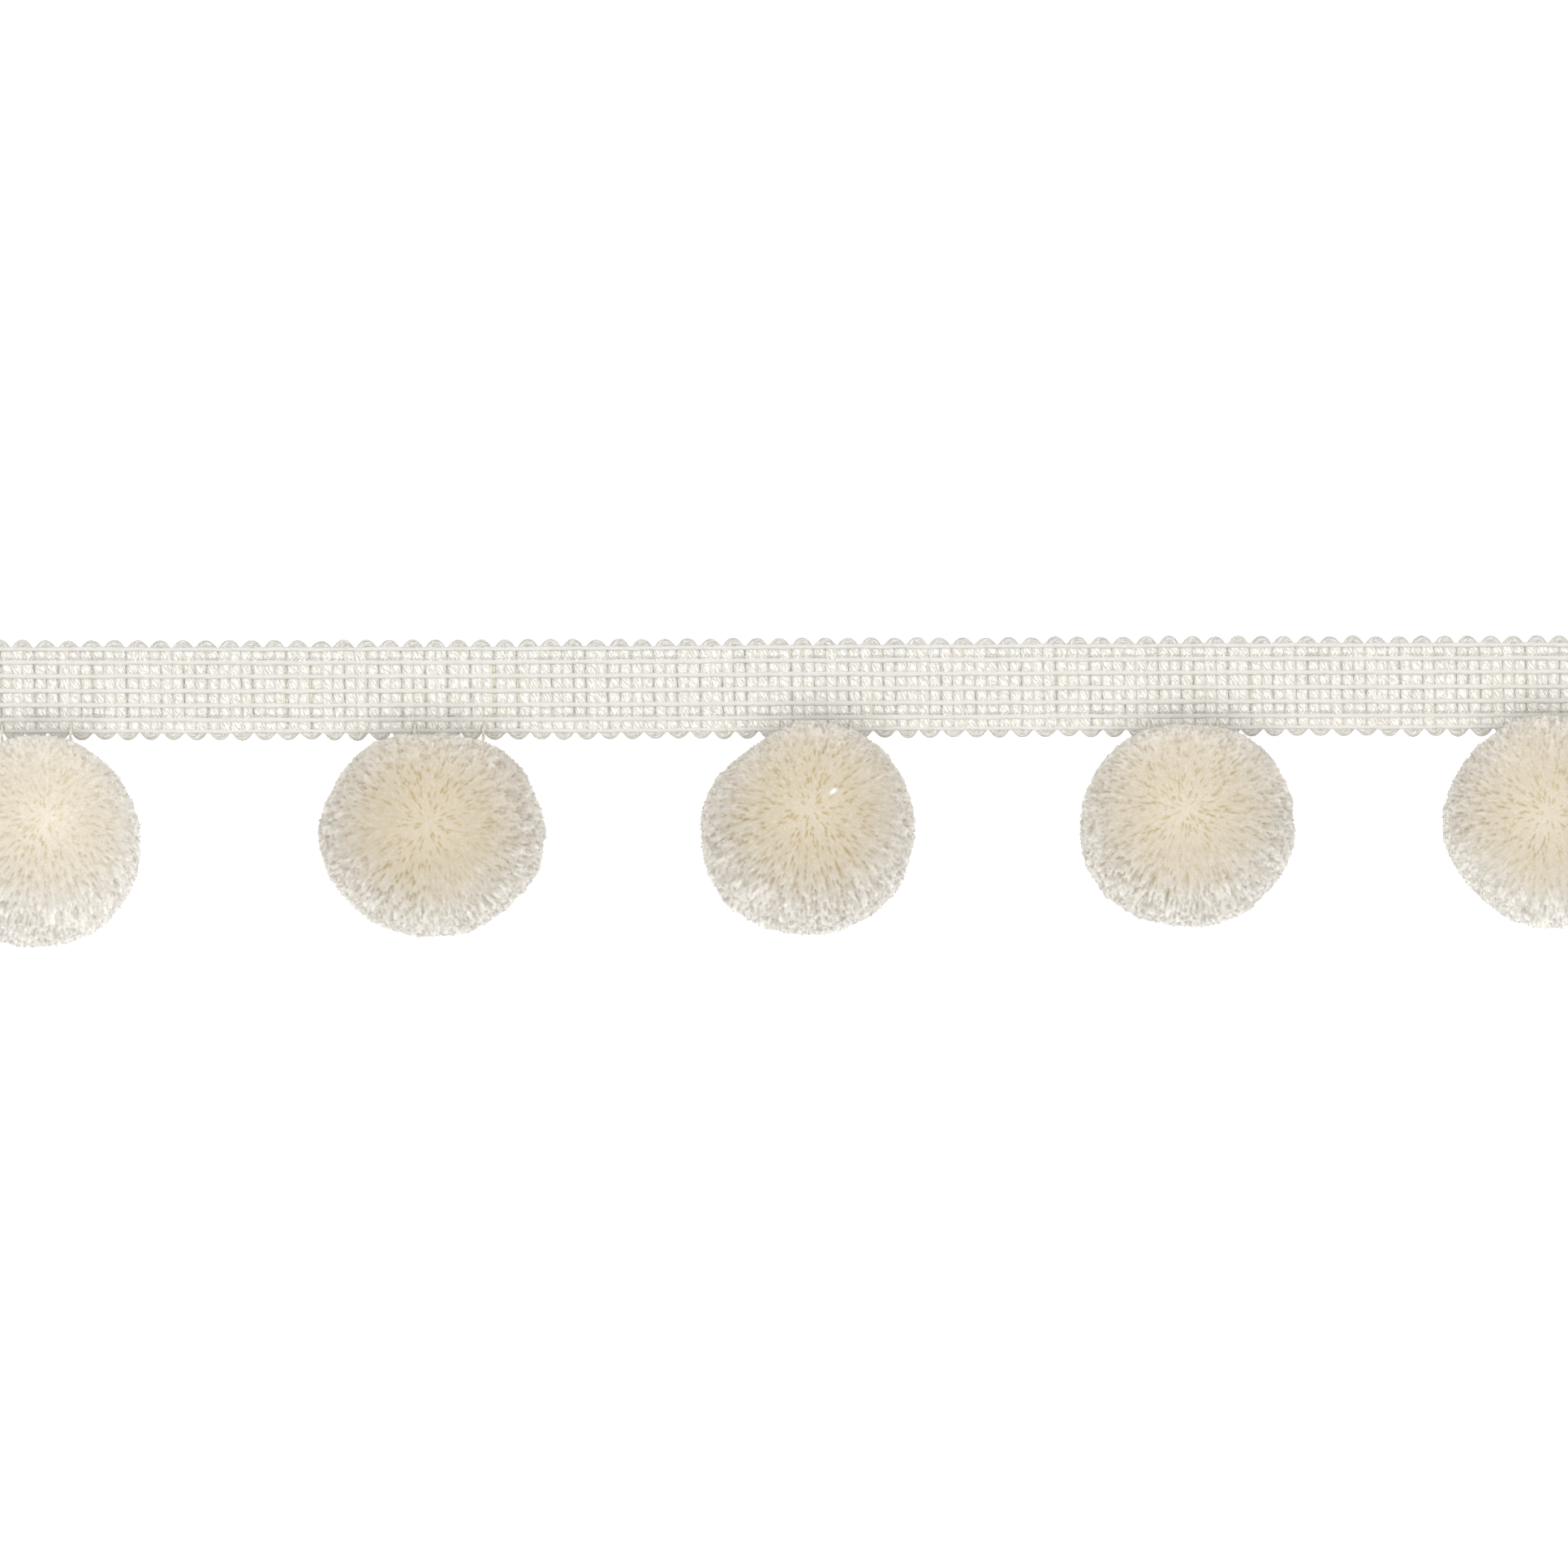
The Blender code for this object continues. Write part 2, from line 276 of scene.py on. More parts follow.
def round_section(corners, ridge=0.0, square=1.0):
    """A round section of 1 unit; every other corner stands out by ridge."""
    angles = 2 * math.pi * np.arange(corners) / corners
    stands = 1 + ridge * np.where(np.arange(corners) % 2 == 0, 1.0, -1.0)
    return angles, stands, square


def flat_section(share):
    """A flat section with six corners; share of its width is level."""
    wide = np.array((1.0, share, -share, -1.0, -share, share))
    high = np.array((0.0, 1.0, 1.0, 0.0, -1.0, -1.0))
    return wide, high


def squared(values, power):
    return np.sign(values) * np.abs(values) ** power


def round_offsets(section, turn):
    """Offsets of a round section at each point of a line, turned by turn."""
    angles, stands, square = section
    at = angles[None, :] + np.asarray(turn).reshape(-1, 1)
    return stands * squared(np.cos(at), square), stands * squared(np.sin(at), square)


def tube_arrays(points, sides, ups, half_width, half_height, offsets, cell):
    """A closed tube round a line of points: vertices, faces and map corners.

    offsets are the section's unit offsets sideways and up, for each point or for all.
    cell is the part of the map (low along, low around, size along, size around) that
    the tube takes.
    """
    rings = len(points)
    wide, high = (np.atleast_2d(values) for values in offsets)
    corners = wide.shape[1]
    wide = np.reshape(half_width, (-1, 1)) * wide
    high = np.reshape(half_height, (-1, 1)) * high
    vertices = points[:, None, :] + wide[..., None] * sides[:, None, :]
    vertices = (vertices + high[..., None] * ups[:, None, :]).reshape(-1, 3)

    ring = np.arange(rings - 1)[:, None] * corners
    corner = np.arange(corners)[None, :]
    after = (corner + 1) % corners
    quads = np.stack((ring + corner, ring + corners + corner,
                      ring + corners + after, ring + after), axis=-1).reshape(-1, 4)
    quad_map = map_grid(rings - 1, corners, cell)

    first_cap = list(range(corners))
    last_cap = list(range((rings - 1) * corners, rings * corners))[::-1]
    angles = 2 * math.pi * np.arange(corners) / corners
    cap_ring = np.stack((np.cos(angles), np.sin(angles)), axis=1) * 0.45 + 0.5
    low_along, low_around, size_along, size_around = cell
    size = np.array((size_along, size_around)) * 0.1
    low = np.array((low_along, low_around))
    caps_map = np.concatenate((low + cap_ring * size, low + cap_ring[::-1] * size))
    faces = quads.tolist() + [first_cap, last_cap]
    return vertices, faces, np.concatenate((quad_map, caps_map))


def map_grid(count, corners, cell):
    """Map corners of count rings of faces, spread evenly over a cell."""
    low_along, low_around, size_along, size_around = cell
    along = low_along + size_along * np.arange(count + 1) / count
    around = low_around + size_around * np.arange(corners + 1) / corners
    u0 = np.repeat(along[:-1], corners)
    u1 = np.repeat(along[1:], corners)
    v0 = np.tile(around[:-1], count)
    v1 = np.tile(around[1:], count)
    return np.stack((u0, v0, u1, v0, u1, v1, u0, v1), axis=-1).reshape(-1, 2)


def joined(parts):
    """Several pieces' arrays as one."""
    vertices, faces, corner_map, count = [], [], [], 0
    for part_vertices, part_faces, part_map in parts:
        vertices.append(part_vertices)
        if isinstance(part_faces, np.ndarray):
            faces.extend((part_faces + count).tolist())
        else:
            faces.extend([[index + count for index in face] for face in part_faces])
        corner_map.append(part_map)
        count += len(part_vertices)
    return np.concatenate(vertices), faces, np.concatenate(corner_map)


def dress(obj, slot, *nodes):
    """Carry a piece on the trim's body and hide the solids that it stands for; the slot argument is not
    used.
    """
    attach(obj, BODY)
    if nodes:
        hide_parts(*nodes)
    return obj


# Shared shader groups

def put(tree, socket, value):
    """Set an input, or feed it where the value is another node's output."""
    if isinstance(value, bpy.types.NodeSocket):
        tree.links.new(value, socket)
    else:
        socket.default_value = value


def node(tree, kind, values=(), **settings):
    """A node with its settings, and what its inputs are set to or fed by."""
    made = tree.nodes.new(kind)
    for key, value in settings.items():
        setattr(made, key, value)
    for key, value in dict(values).items():
        put(tree, made.inputs[key], value)
    return made


def calc(tree, operation, *values, **settings):
    """The result of one sum in a material."""
    return node(tree, "ShaderNodeMath", enumerate(values), operation=operation, **settings).outputs[0]


def ranged(tree, value, low, high, to_low=0.0, to_high=1.0):
    """A value carried from one range to another."""
    return node(tree, "ShaderNodeMapRange", {
        "Value": value, "From Min": low, "From Max": high, "To Min": to_low, "To Max": to_high,
    }).outputs[0]


def mixed(tree, amount, first, second):
    """A colour between two others."""
    return node(tree, "ShaderNodeMix", {"Factor": amount, "A": first, "B": second},
                data_type="RGBA").outputs["Result"]


def scaled(tree, tone, amount):
    """A colour made darker or paler."""
    return node(tree, "ShaderNodeVectorMath", {0: tone, "Scale": amount}, operation="SCALE").outputs[0]


def shader_group(name, inputs, output, build):
    """A shader group, made once: build gives its one output from its tree and its inputs."""
    if name in bpy.data.node_groups:
        return bpy.data.node_groups[name]
    tree = bpy.data.node_groups.new(name, "ShaderNodeTree")
    for label, kind, value in inputs:
        tree.interface.new_socket(label, in_out="INPUT", socket_type=kind).default_value = value
    tree.interface.new_socket(output[0], in_out="OUTPUT", socket_type=output[1])
    given = tree.nodes.new("NodeGroupInput").outputs
    node(tree, "NodeGroupOutput", {0: build(tree, given)})
    return tree


def fibre_streaks():
    """Streaks of fine fibre that run along a yarn and change quickly round it."""
    def build(tree, given):
        split = node(tree, "ShaderNodeSeparateXYZ", {0: given["Map"]})
        along = calc(tree, "MULTIPLY", split.outputs["X"], given["Along"])
        around = calc(tree, "MULTIPLY", split.outputs["Y"], given["Around"])
        place = node(tree, "ShaderNodeCombineXYZ", {"X": along, "Y": around})
        noise = node(tree, "ShaderNodeTexNoise", {
            "Vector": place.outputs[0], "Scale": 1.0, "Detail": 3.0, "Roughness": 0.6})
        less = calc(tree, "SUBTRACT", noise.outputs["Fac"], 0.5)
        return calc(tree, "MULTIPLY_ADD", less, given["Contrast"], 0.5, use_clamp=True)

    return shader_group("fibre streaks", (
        ("Map", "NodeSocketVector", (0, 0, 0)), ("Along", "NodeSocketFloat", 40.0),
        ("Around", "NodeSocketFloat", 400.0), ("Contrast", "NodeSocketFloat", 0.5),
    ), ("Streak", "NodeSocketFloat"), build)


def strand_ridges():
    """Rounded strands side by side round a yarn, low in the fine lines between them, which the yarn's
    colour fills with painted shade.
    """
    def build(tree, given):
        place = node(tree, "ShaderNodeTexCoord").outputs["Object"]
        noise = node(tree, "ShaderNodeTexNoise", {
            "Vector": place, "Scale": WAVER_SCALE, "Detail": 2.0, "Roughness": 0.5})
        waver = calc(tree, "MULTIPLY", noise.outputs["Fac"], given["Waver"])
        around = node(tree, "ShaderNodeSeparateXYZ", {0: given["Map"]}).outputs["Y"]
        share = calc(tree, "FRACT", calc(tree, "MULTIPLY_ADD", around, given["Strands"], waver))
        centred = calc(tree, "MULTIPLY_ADD", share, 2.0, -1.0)
        return calc(tree, "SUBTRACT", 1.0, calc(tree, "MULTIPLY", centred, centred))

    return shader_group("strand ridges", (
        ("Map", "NodeSocketVector", (0, 0, 0)), ("Strands", "NodeSocketFloat", 14.0),
        ("Waver", "NodeSocketFloat", 0.6),
    ), ("Ridge", "NodeSocketFloat"), build)


def tone_drift():
    """A slow change of tone over the cloth, as in undyed yarn and handled trim."""
    def build(tree, given):
        place = node(tree, "ShaderNodeTexCoord").outputs["Object"]
        noise = node(tree, "ShaderNodeTexNoise", {
            "Vector": place, "Scale": given["Patches"], "Detail": 3.0, "Roughness": 0.55})
        amount = calc(tree, "MULTIPLY", ranged(tree, noise.outputs["Fac"], 0.35, 0.65), given["Share"])
        return mixed(tree, amount, given["Tone"], given["Other Tone"])

    return shader_group("tone drift", (
        ("Tone", "NodeSocketColor", (0.8, 0.8, 0.8, 1)),
        ("Other Tone", "NodeSocketColor", (0.7, 0.7, 0.7, 1)),
        ("Patches", "NodeSocketFloat", 120.0), ("Share", "NodeSocketFloat", 0.5),
    ), ("Tone", "NodeSocketColor"), build)


def new_cloth(name, roughness, sheen, sheen_tint):
    """An empty cloth material: its tree, its shader and its map."""
    material = bpy.data.materials.new(name)
    material.use_nodes = True
    tree = material.node_tree
    shader = tree.nodes["Principled BSDF"]
    shader.inputs["Roughness"].default_value = roughness
    shader.inputs["Sheen Weight"].default_value = sheen
    shader.inputs["Sheen Roughness"].default_value = 0.4
    shader.inputs["Sheen Tint"].default_value = (*sheen_tint, 1)
    the_map = node(tree, "ShaderNodeUVMap", uv_map=BAKE_MAP)
    return material, tree, shader, the_map.outputs[0]


def add_streaks(tree, the_map, along, around, contrast):
    return node(tree, "ShaderNodeGroup", {
        "Map": the_map, "Along": along, "Around": around, "Contrast": contrast,
    }, node_tree=fibre_streaks()).outputs["Streak"]


def add_relief(tree, shader, height, depth, strength):
    """Fine relief from a height that runs over the surface."""
    bump = node(tree, "ShaderNodeBump", {"Strength": strength, "Distance": depth, "Height": height})
    tree.links.new(bump.outputs["Normal"], shader.inputs["Normal"])


def picot_shaded(tree, the_map, tone, shade):
    """The cord's tone with painted shade in its picots: darker over the last part of each pass's cell
    of the map.
    """
    along = node(tree, "ShaderNodeSeparateXYZ", {0: the_map}).outputs["X"]
    place = calc(tree, "FRACT", calc(tree, "MULTIPLY", along, MAP_COLUMNS))
    return scaled(tree, tone, ranged(tree, place, *PICOT_SHARES, 1.0, shade))


def yarn_material(name, tone, other_tone, shade, strands, waver, streaks, rough_range, relief,
                  sheen, picot_shade=1.0):
    """Twisted yarn: strands with painted shade in the lines between them, and streaks of fine fibre
    whose low parts also get painted shade.
    """
    material, tree, shader, the_map = new_cloth(name, 0.5, sheen, (1, 0.98, 0.94))
    streak = add_streaks(tree, the_map, *streaks)
    ridge = node(tree, "ShaderNodeGroup", {"Map": the_map, "Strands": strands, "Waver": waver},
                 node_tree=strand_ridges()).outputs["Ridge"]
    drift = node(tree, "ShaderNodeGroup", {
        "Tone": (*tone, 1), "Other Tone": (*other_tone, 1), "Patches": 260.0, "Share": 0.6,
    }, node_tree=tone_drift()).outputs["Tone"]
    height = calc(tree, "MULTIPLY_ADD", streak, 0.5, calc(tree, "MULTIPLY", ridge, 0.5))
    # Painted shade: the tone goes down to the shade colour where the strands and fibre streaks run low.
    tone_with_painted_light = mixed(tree, ranged(tree, height, *STRAND_LIGHT), (*shade, 1), drift)
    # Painted shade: the cord turns darker where it turns round in the picots.
    if picot_shade < 1:
        tone_with_painted_light = picot_shaded(tree, the_map, tone_with_painted_light, picot_shade)
    put(tree, shader.inputs["Base Color"], tone_with_painted_light)
    put(tree, shader.inputs["Roughness"], ranged(tree, height, 0.0, 1.0, *rough_range[::-1]))
    add_relief(tree, shader, height, relief, 1.0)
    return material


def pile_material(name, tones):
    """Cut pile: warm and dark at the roots and in the partings by painted shade, paler along the
    strands by painted sheen, cream at their cut ends.
    """
    material, tree, shader, the_map = new_cloth(name, 0.45, 0.5, (1, 0.98, 0.95))
    split = node(tree, "ShaderNodeSeparateXYZ", {0: the_map})
    tint, along = split.outputs["X"], split.outputs["Y"]
    ramp = node(tree, "ShaderNodeValToRGB", {"Fac": along})
    stops = ramp.color_ramp.elements
    stops[0].position, stops[0].color = 0.0, (*tones[0][1], 1)
    stops[1].position, stops[1].color = 1.0, (*tones[-1][1], 1)
    for position, tone in tones[1:-1]:
        stops.new(position).color = (*tone, 1)
    paler = mixed(tree, ranged(tree, tint, 0.3, 1.0, 0.0, 0.55), ramp.outputs["Color"], (*PALE_PILE, 1))
    tinted = scaled(tree, paler, ranged(tree, tint, 0.0, 1.0, 0.865, 1.02))
    streak = add_streaks(tree, the_map, 260.0, 5.0, 2.0)
    tone_with_painted_light = scaled(tree, tinted, ranged(tree, streak, 0.0, 1.0, 0.90, 1.04))
    put(tree, shader.inputs["Base Color"], tone_with_painted_light)
    put(tree, shader.inputs["Roughness"], ranged(tree, tint, 0.0, 1.0, 0.62, 0.34))
    add_relief(tree, shader, streak, 0.02 * MM, 0.3)
    return material


# Settings

def length_setting(name, description, default):
    return bpy.props.FloatProperty(name=name, description=description, default=default, unit="LENGTH")


def tone_setting(name, description, default):
    return bpy.props.FloatVectorProperty(
        name=name, description=description, default=default, subtype="COLOR", min=0, max=1)


class HeadingSettings(bpy.types.PropertyGroup):
    cord_half_width: length_setting(
        "Cord half width", "Half the width of the weft cord between warp bands", 0.77 * MM)
    cord_half_height: length_setting(
        "Bead half height", "Half the height of the cord where it bulges", 0.66 * MM)
    held_half_height: length_setting(
        "Held half height", "Half the height of the cord under a warp band", 0.40 * MM)
    middle_height: length_setting(
        "Middle height", "Height of the cord's middle above the floor", 0.75 * MM)
    twist_pitch: length_setting(
        "Twist pitch", "Length of one full turn of the cord's yarns", 11.0 * MM)
    picot_radius: length_setting(
        "Picot radius", "Radius of the cord's turn at the edges", 0.66 * MM)
    cord_tone: tone_setting(
        "Cord tone", "Colour of the silky weft cord", (0.74, 0.725, 0.695))
    # The cord's darker tone in the picots is painted shade.
    picot_shade: bpy.props.FloatProperty(
        name="Picot shade", description="How much of its tone the cord keeps in the picots",
        default=0.80, min=0, max=1)
    band_tone: tone_setting(
        "Band tone", "Colour of the matt warp bands", (0.55, 0.54, 0.515))


class PileSettings(bpy.types.PropertyGroup):
    ball_radius: length_setting(
        "Ball radius", "Mean radius that the pile's reliefs are measured on", 12.8 * MM)
    trim: length_setting(
        "Trim", "How far the mean pile lies inside the outline of its reach", 0.10 * MM)
    softness: bpy.props.FloatProperty(
        name="Softness", description="How far the packed pile is shaded as one smooth ball",
        default=2.2, min=0)
    tuft_relief: length_setting(
        "Tuft relief", "How unevenly the tufts round the sides are trimmed", 0.06 * MM)
    lump_relief: length_setting(
        "Lump relief", "How far wide lumps of the loose sides rise and sink", 0.09 * MM)
    strand_relief: length_setting(
        "Strand relief", "How unevenly the strands in a tuft are cut", 0.035 * MM)
    groove: length_setting(
        "Groove", "Depth of the grooves between tufts", 0.08 * MM)
    fibre_relief: length_setting(
        "Fibre relief", "How unevenly single fibres are cut", 0.02 * MM)
    partings: bpy.props.IntProperty(
        name="Partings", description="Fine partings in the pile of each pompom",
        default=2100, min=1, max=4000)
    parting_depth: length_setting(
        "Parting depth", "Depth of the fine partings", 0.25 * MM)
    fibres: bpy.props.IntProperty(
        name="Fibres", description="Fibres that stand out round the sides of each pompom",
        default=14500, min=200, max=16000)
    fibre_radius: length_setting(
        "Fibre radius", "Radius of a fibre at its root", 0.09 * MM)
    fibre_stand: length_setting(
        "Fibre stand", "How far the fibres stand out of the packed pile", 0.24 * MM)
    # The tip and side tones are paler than the face tone by painted sheen round the loose sides.
    tip_tone: tone_setting(
        "Tip tone", "Colour of the fibres at their tips", (0.90, 0.88, 0.83))
    face_tone: tone_setting(
        "Face tone", "Colour of the trimmed face of the pile", (0.497, 0.429, 0.317))
    # The side tone lies down in the grooves between the tufts: paler than the face by painted sheen,
    # darker than the tufts by painted shade.
    side_tone: tone_setting(
        "Side tone", "Colour of the pile deep between the tufts", (0.556, 0.512, 0.437))
    # The root tone is painted shade: the dark, warm colour down in the partings.
    parting_shade_tone: tone_setting(
        "Root tone", "Colour down in the partings", (0.42, 0.33, 0.16))


class TieSettings(bpy.types.PropertyGroup):
    thread_radius: length_setting(
        "Thread radius", "Radius of the binding thread", 0.25 * MM)
    ply_pitch: length_setting(
        "Ply pitch", "Length of one full turn of the thread's plies", 1.9 * MM)
    thread_tone: tone_setting(
        "Thread tone", "Colour of the binding thread", (0.80, 0.77, 0.70))


class StageSettings(bpy.types.PropertyGroup):
    picture_width: length_setting(
        "Picture width", "Width of the trim's plane that the camera sees", 193.2 * MM)
    camera_height: length_setting(
        "Camera height", "Height of the camera above the floor", 3.0)
    floor_tone: tone_setting(
        "Floor tone", "Colour of the pale floor", (0.90, 0.90, 0.90))
    floor_glow: bpy.props.FloatProperty(
        name="Floor glow", description="Light that the floor gives, as a light table does",
        default=0.6, min=0)
    sky_strength: bpy.props.FloatProperty(
        name="Sky strength", description="Even light from all round", default=0.66, min=0)
    key_power: bpy.props.FloatProperty(
        name="Key power", description="Power of the main soft light, almost straight above",
        default=28.0, min=0, unit="POWER")


# Weft cord

def bead_stops():
    """Places across the heading where the cord's shape is set: six for each bead."""
    bands = sorted(row[1] * MM for row in WARP_BANDS)
    shares = np.array((0.0, 0.16, 0.32, 0.5, 0.68, 0.84))
    stops = [low + (high - low) * shares for low, high in zip(bands[:-1], bands[1:])]
    return np.concatenate(stops + [[bands[-1]]])


def weft_line(settings):
    """The cord's middle line from end to end, and the pass that each point belongs to.

    It runs up and down across the heading, one pass beside another, and turns round at
    both edges in a picot.
    """
    random = np.random.default_rng(5)
    stops = bead_stops()
    turn_centre = stops[-1]
    turn_angles = np.linspace(0, math.pi, 9)[1:-1]
    lean = random.normal(0, PASS_LEAN, PASSES)
    bowed = random.normal(0, PASS_BOW, PASSES)
    reach = random.normal(1.0, PICOT_UNEVEN, PASSES + 1)
    radius = settings.picot_radius
    points, numbers = [], []
    for number in range(PASSES):
        side = 1 if number % 2 == 0 else -1
        across = stops[::side]
        share = across / (2 * turn_centre)
        toward = np.clip((np.abs(share) - 0.40) / 0.10, 0, 1) ** 2 * (PASS_PITCH / 2 - radius)
        place = (number + 0.5) * PASS_PITCH - HALF_LENGTH + lean[number] + side * PAIR_SHIFT
        x = place + PASS_SLANT * (0.5 - share) + bowed[number] * np.cos(math.pi * share)
        x = x + toward * np.sign(share) * side
        points.append(np.stack((x, across, np.zeros_like(x)), axis=1))
        numbers.append(np.full(len(x), number))
        if number == PASSES - 1:
            break
        crest = (number + 1) * PASS_PITCH - HALF_LENGTH + PASS_SLANT * (0.5 - 0.5 * side)
        crest += (lean[number] + lean[number + 1]) / 2
        x = crest - radius * np.cos(turn_angles)
        y = side * (turn_centre + radius * reach[number] * np.sin(turn_angles))
        points.append(np.stack((x, y, np.zeros_like(x)), axis=1))
        numbers.append(np.full(len(x), number))
    line, numbers = np.concatenate(points), np.concatenate(numbers)
    straight = np.abs(line[:, 1]) < turn_centre
    line[:, 0] += 0.05 * MM * smooth_noise(np.arange(len(line)), 4, 23) * straight
    return line, numbers


def bulge_between_bands(across):
    """0 where a warp band holds the cord down, 1 midway between two bands.

    It stays down for longer below a band than above one, so beads hang over the bands.
    """
    bands = np.array(sorted(row[1] * MM for row in WARP_BANDS))
    inside = np.clip(across, bands[0], bands[-1])
    index = np.clip(np.searchsorted(bands, inside) - 1, 0, len(bands) - 2)
    share = (inside - bands[index]) / (bands[index + 1] - bands[index])
    free = np.clip((share - HELD_SHARES[0]) / (1 - sum(HELD_SHARES)), 0, 1)
    return np.sin(math.pi * free).clip(0, 1) ** 0.45


def make_weft(settings, material):
    """The twisted cord in two halves, each a joined run of passes and picot turns."""
    line, numbers = weft_line(settings)
    steps = np.arange(len(line))
    bulge = bulge_between_bands(line[:, 1]) * (1 + 0.11 * smooth_noise(steps, 5, 24))
    turning = np.clip((np.abs(line[:, 1]) - 4.9 * MM) / (0.5 * MM), 0, 1)
    swell = 1 + 0.05 * smooth_noise(steps, 5, 21)
    half_width = settings.cord_half_width * (0.96 + 0.04 * bulge)
    outer = np.clip((np.abs(line[:, 1]) - 2.6 * MM) / (1.0 * MM), 0, 1)
    half_width = (half_width * (1 + 0.07 * outer) * (1 - turning) + PICOT_HALF_WIDTH * turning) * swell
    held, full = settings.held_half_height, settings.cord_half_height
    half_height = held + (full - held) * bulge
    half_height = (half_height * (1 - turning) + PICOT_HALF_HEIGHT * turning) * swell
    rise = 0.05 * MM * smooth_noise(numbers.astype(float), 1.0, 22)
    line[:, 2] = np.maximum(settings.middle_height + rise, half_height * 1.08)
    line[:, 1] += heading_sway(line[:, 0])
    lengths = np.concatenate(([0], np.cumsum(np.linalg.norm(np.diff(line, axis=0), axis=1))))
    turn = 2 * math.pi * lengths / settings.twist_pitch
    tangents = unit(np.gradient(line * (1, 1, 0), axis=0))
    sides = np.cross(tangents, UP)
    ups = np.tile(UP, (len(line), 1))
    section = round_section(CORD_CORNERS, 0.05, 0.54)

    pieces = []
    for name, first in (("weft_left", 0), ("weft_right", PASSES // 2)):
        wheres = []
        for number in range(first, first + PASSES // 2):
            where = np.flatnonzero(numbers == number)
            wheres.append(where if number == PASSES - 1 else np.append(where, where[-1] + 1))
        run = slice(wheres[0][0], wheres[-1][-1] + 1)
        vertices, faces, corner_map = tube_arrays(
            line[run], sides[run], ups[run], half_width[run], half_height[run],
            round_offsets(section, turn[run]), (0, 0, 1, 1))
        corner_map *= 1 / MAP_COLUMNS
        for order, where in enumerate(wheres):
            size = 1 / MAP_COLUMNS
            cell = (order % MAP_COLUMNS * size, order // MAP_COLUMNS * size, size, size)
            low = (where[0] - run.start) * CORD_CORNERS * 4
            grid = map_grid(len(where) - 1, CORD_CORNERS, cell)
            corner_map[low:low + len(grid)] = grid
        pieces.append(mesh_object(name, vertices, faces, corner_map, material))
    return pieces


# Warp bands

def band_line(across, height, step, wave, seed):
    """A band's middle line, rising over each pass of cord and dipping between them."""
    random = np.random.default_rng(seed)
    overhang = random.uniform(0.1, 0.5, 2) * MM
    x = np.arange(-HALF_LENGTH - overhang[0], HALF_LENGTH + overhang[1], step)
    passes = (x + HALF_LENGTH - PASS_SLANT * (0.5 - across / (2 * EDGE))) / PASS_PITCH
    y = across + heading_sway(x) + 0.045 * MM * smooth_noise(x, 2.1 * MM, seed + 1)
    z = height - wave * np.cos(2 * math.pi * passes)
    return np.stack((x, y, z), axis=1)


def level_frame(line):
    """Sideways and upward directions of a band that lies level."""
    return np.tile((0.0, -1.0, 0.0), (len(line), 1)), np.tile(UP, (len(line), 1))


def make_warps(settings, material):
    """Flat warp bands over and under the cord, some with a twisted thread beside them."""
    pieces = []
    top = settings.middle_height + settings.held_half_height + BAND_THICKNESS / 2
    for order, (name, across, width, has_twist) in enumerate(WARP_BANDS):
        parts = []
        for over in (True, False):
            height = top if over else 2 * settings.middle_height - top
            wave = 0.045 * MM if over else -0.02 * MM
            step = PASS_PITCH / (3 if over else 1)
            line = band_line(across * MM, height, step, wave, 40 + order)
            wider = 1 + 0.13 * smooth_noise(line[:, 0], 1.3 * MM, 60 + order)
            cell = (0, (0 if over else 1) / WARP_ROWS, 1, 0.9 / WARP_ROWS)
            parts.append(tube_arrays(line, *level_frame(line), width / 2 * MM * wider,
                                     BAND_THICKNESS, flat_section(0.84), cell))
        if has_twist:
            parts.extend(twisted_pair(across * MM + TWIST_BESIDE, top + 0.04 * MM, 80 + order))
        pieces.append(mesh_object("warp_" + name, *joined(parts), material))
    return pieces


def twisted_pair(across, height, seed):
    """Two fine threads turned round each other along the heading."""
    line = band_line(across, height, PASS_PITCH / 6, 0.02 * MM, seed)
    sides, ups = level_frame(line)
    turn = 2 * math.pi * line[:, 0] / (PASS_PITCH * 0.7)
    parts = []
    for ply in range(2):
        angle = (turn + ply * math.pi)[:, None]
        middle = line + 0.11 * MM * (np.cos(angle) * sides + np.sin(angle) * ups)
        cell = (0, (2 + ply) / WARP_ROWS, 1, 0.9 / WARP_ROWS)
        parts.append(tube_arrays(middle, sides, ups, 0.15 * MM, 0.13 * MM,
                                 round_offsets(round_section(4), turn), cell))
    return parts


def make_ground(settings, material):
    """The thin closed layer in the middle of the weave, seen only between the cords; its darker, warmer
    tone is painted shade in the gaps between them.
    """
    stops = np.linspace(-HALF_LENGTH + 0.2 * MM, HALF_LENGTH - 0.2 * MM, SCALLOPS + 1)
    line = np.stack((stops, heading_sway(stops), np.full(len(stops), settings.middle_height)), axis=1)
    arrays = tube_arrays(line, *level_frame(line), EDGE - 0.25 * MM, 0.12 * MM,
                         flat_section(0.98), (0, 0, 1, 1))
    return mesh_object("ground_web", *arrays, material)


# Binding threads

def bow(start, aim, end, steps):
    """Points on a curve that leaves start towards aim and arrives at end from it."""
    share = np.linspace(0, 1, steps + 1)[:, None]
    return (start * (1 - share) + aim * share) * (1 - share) + (aim * (1 - share) + end * share) * share


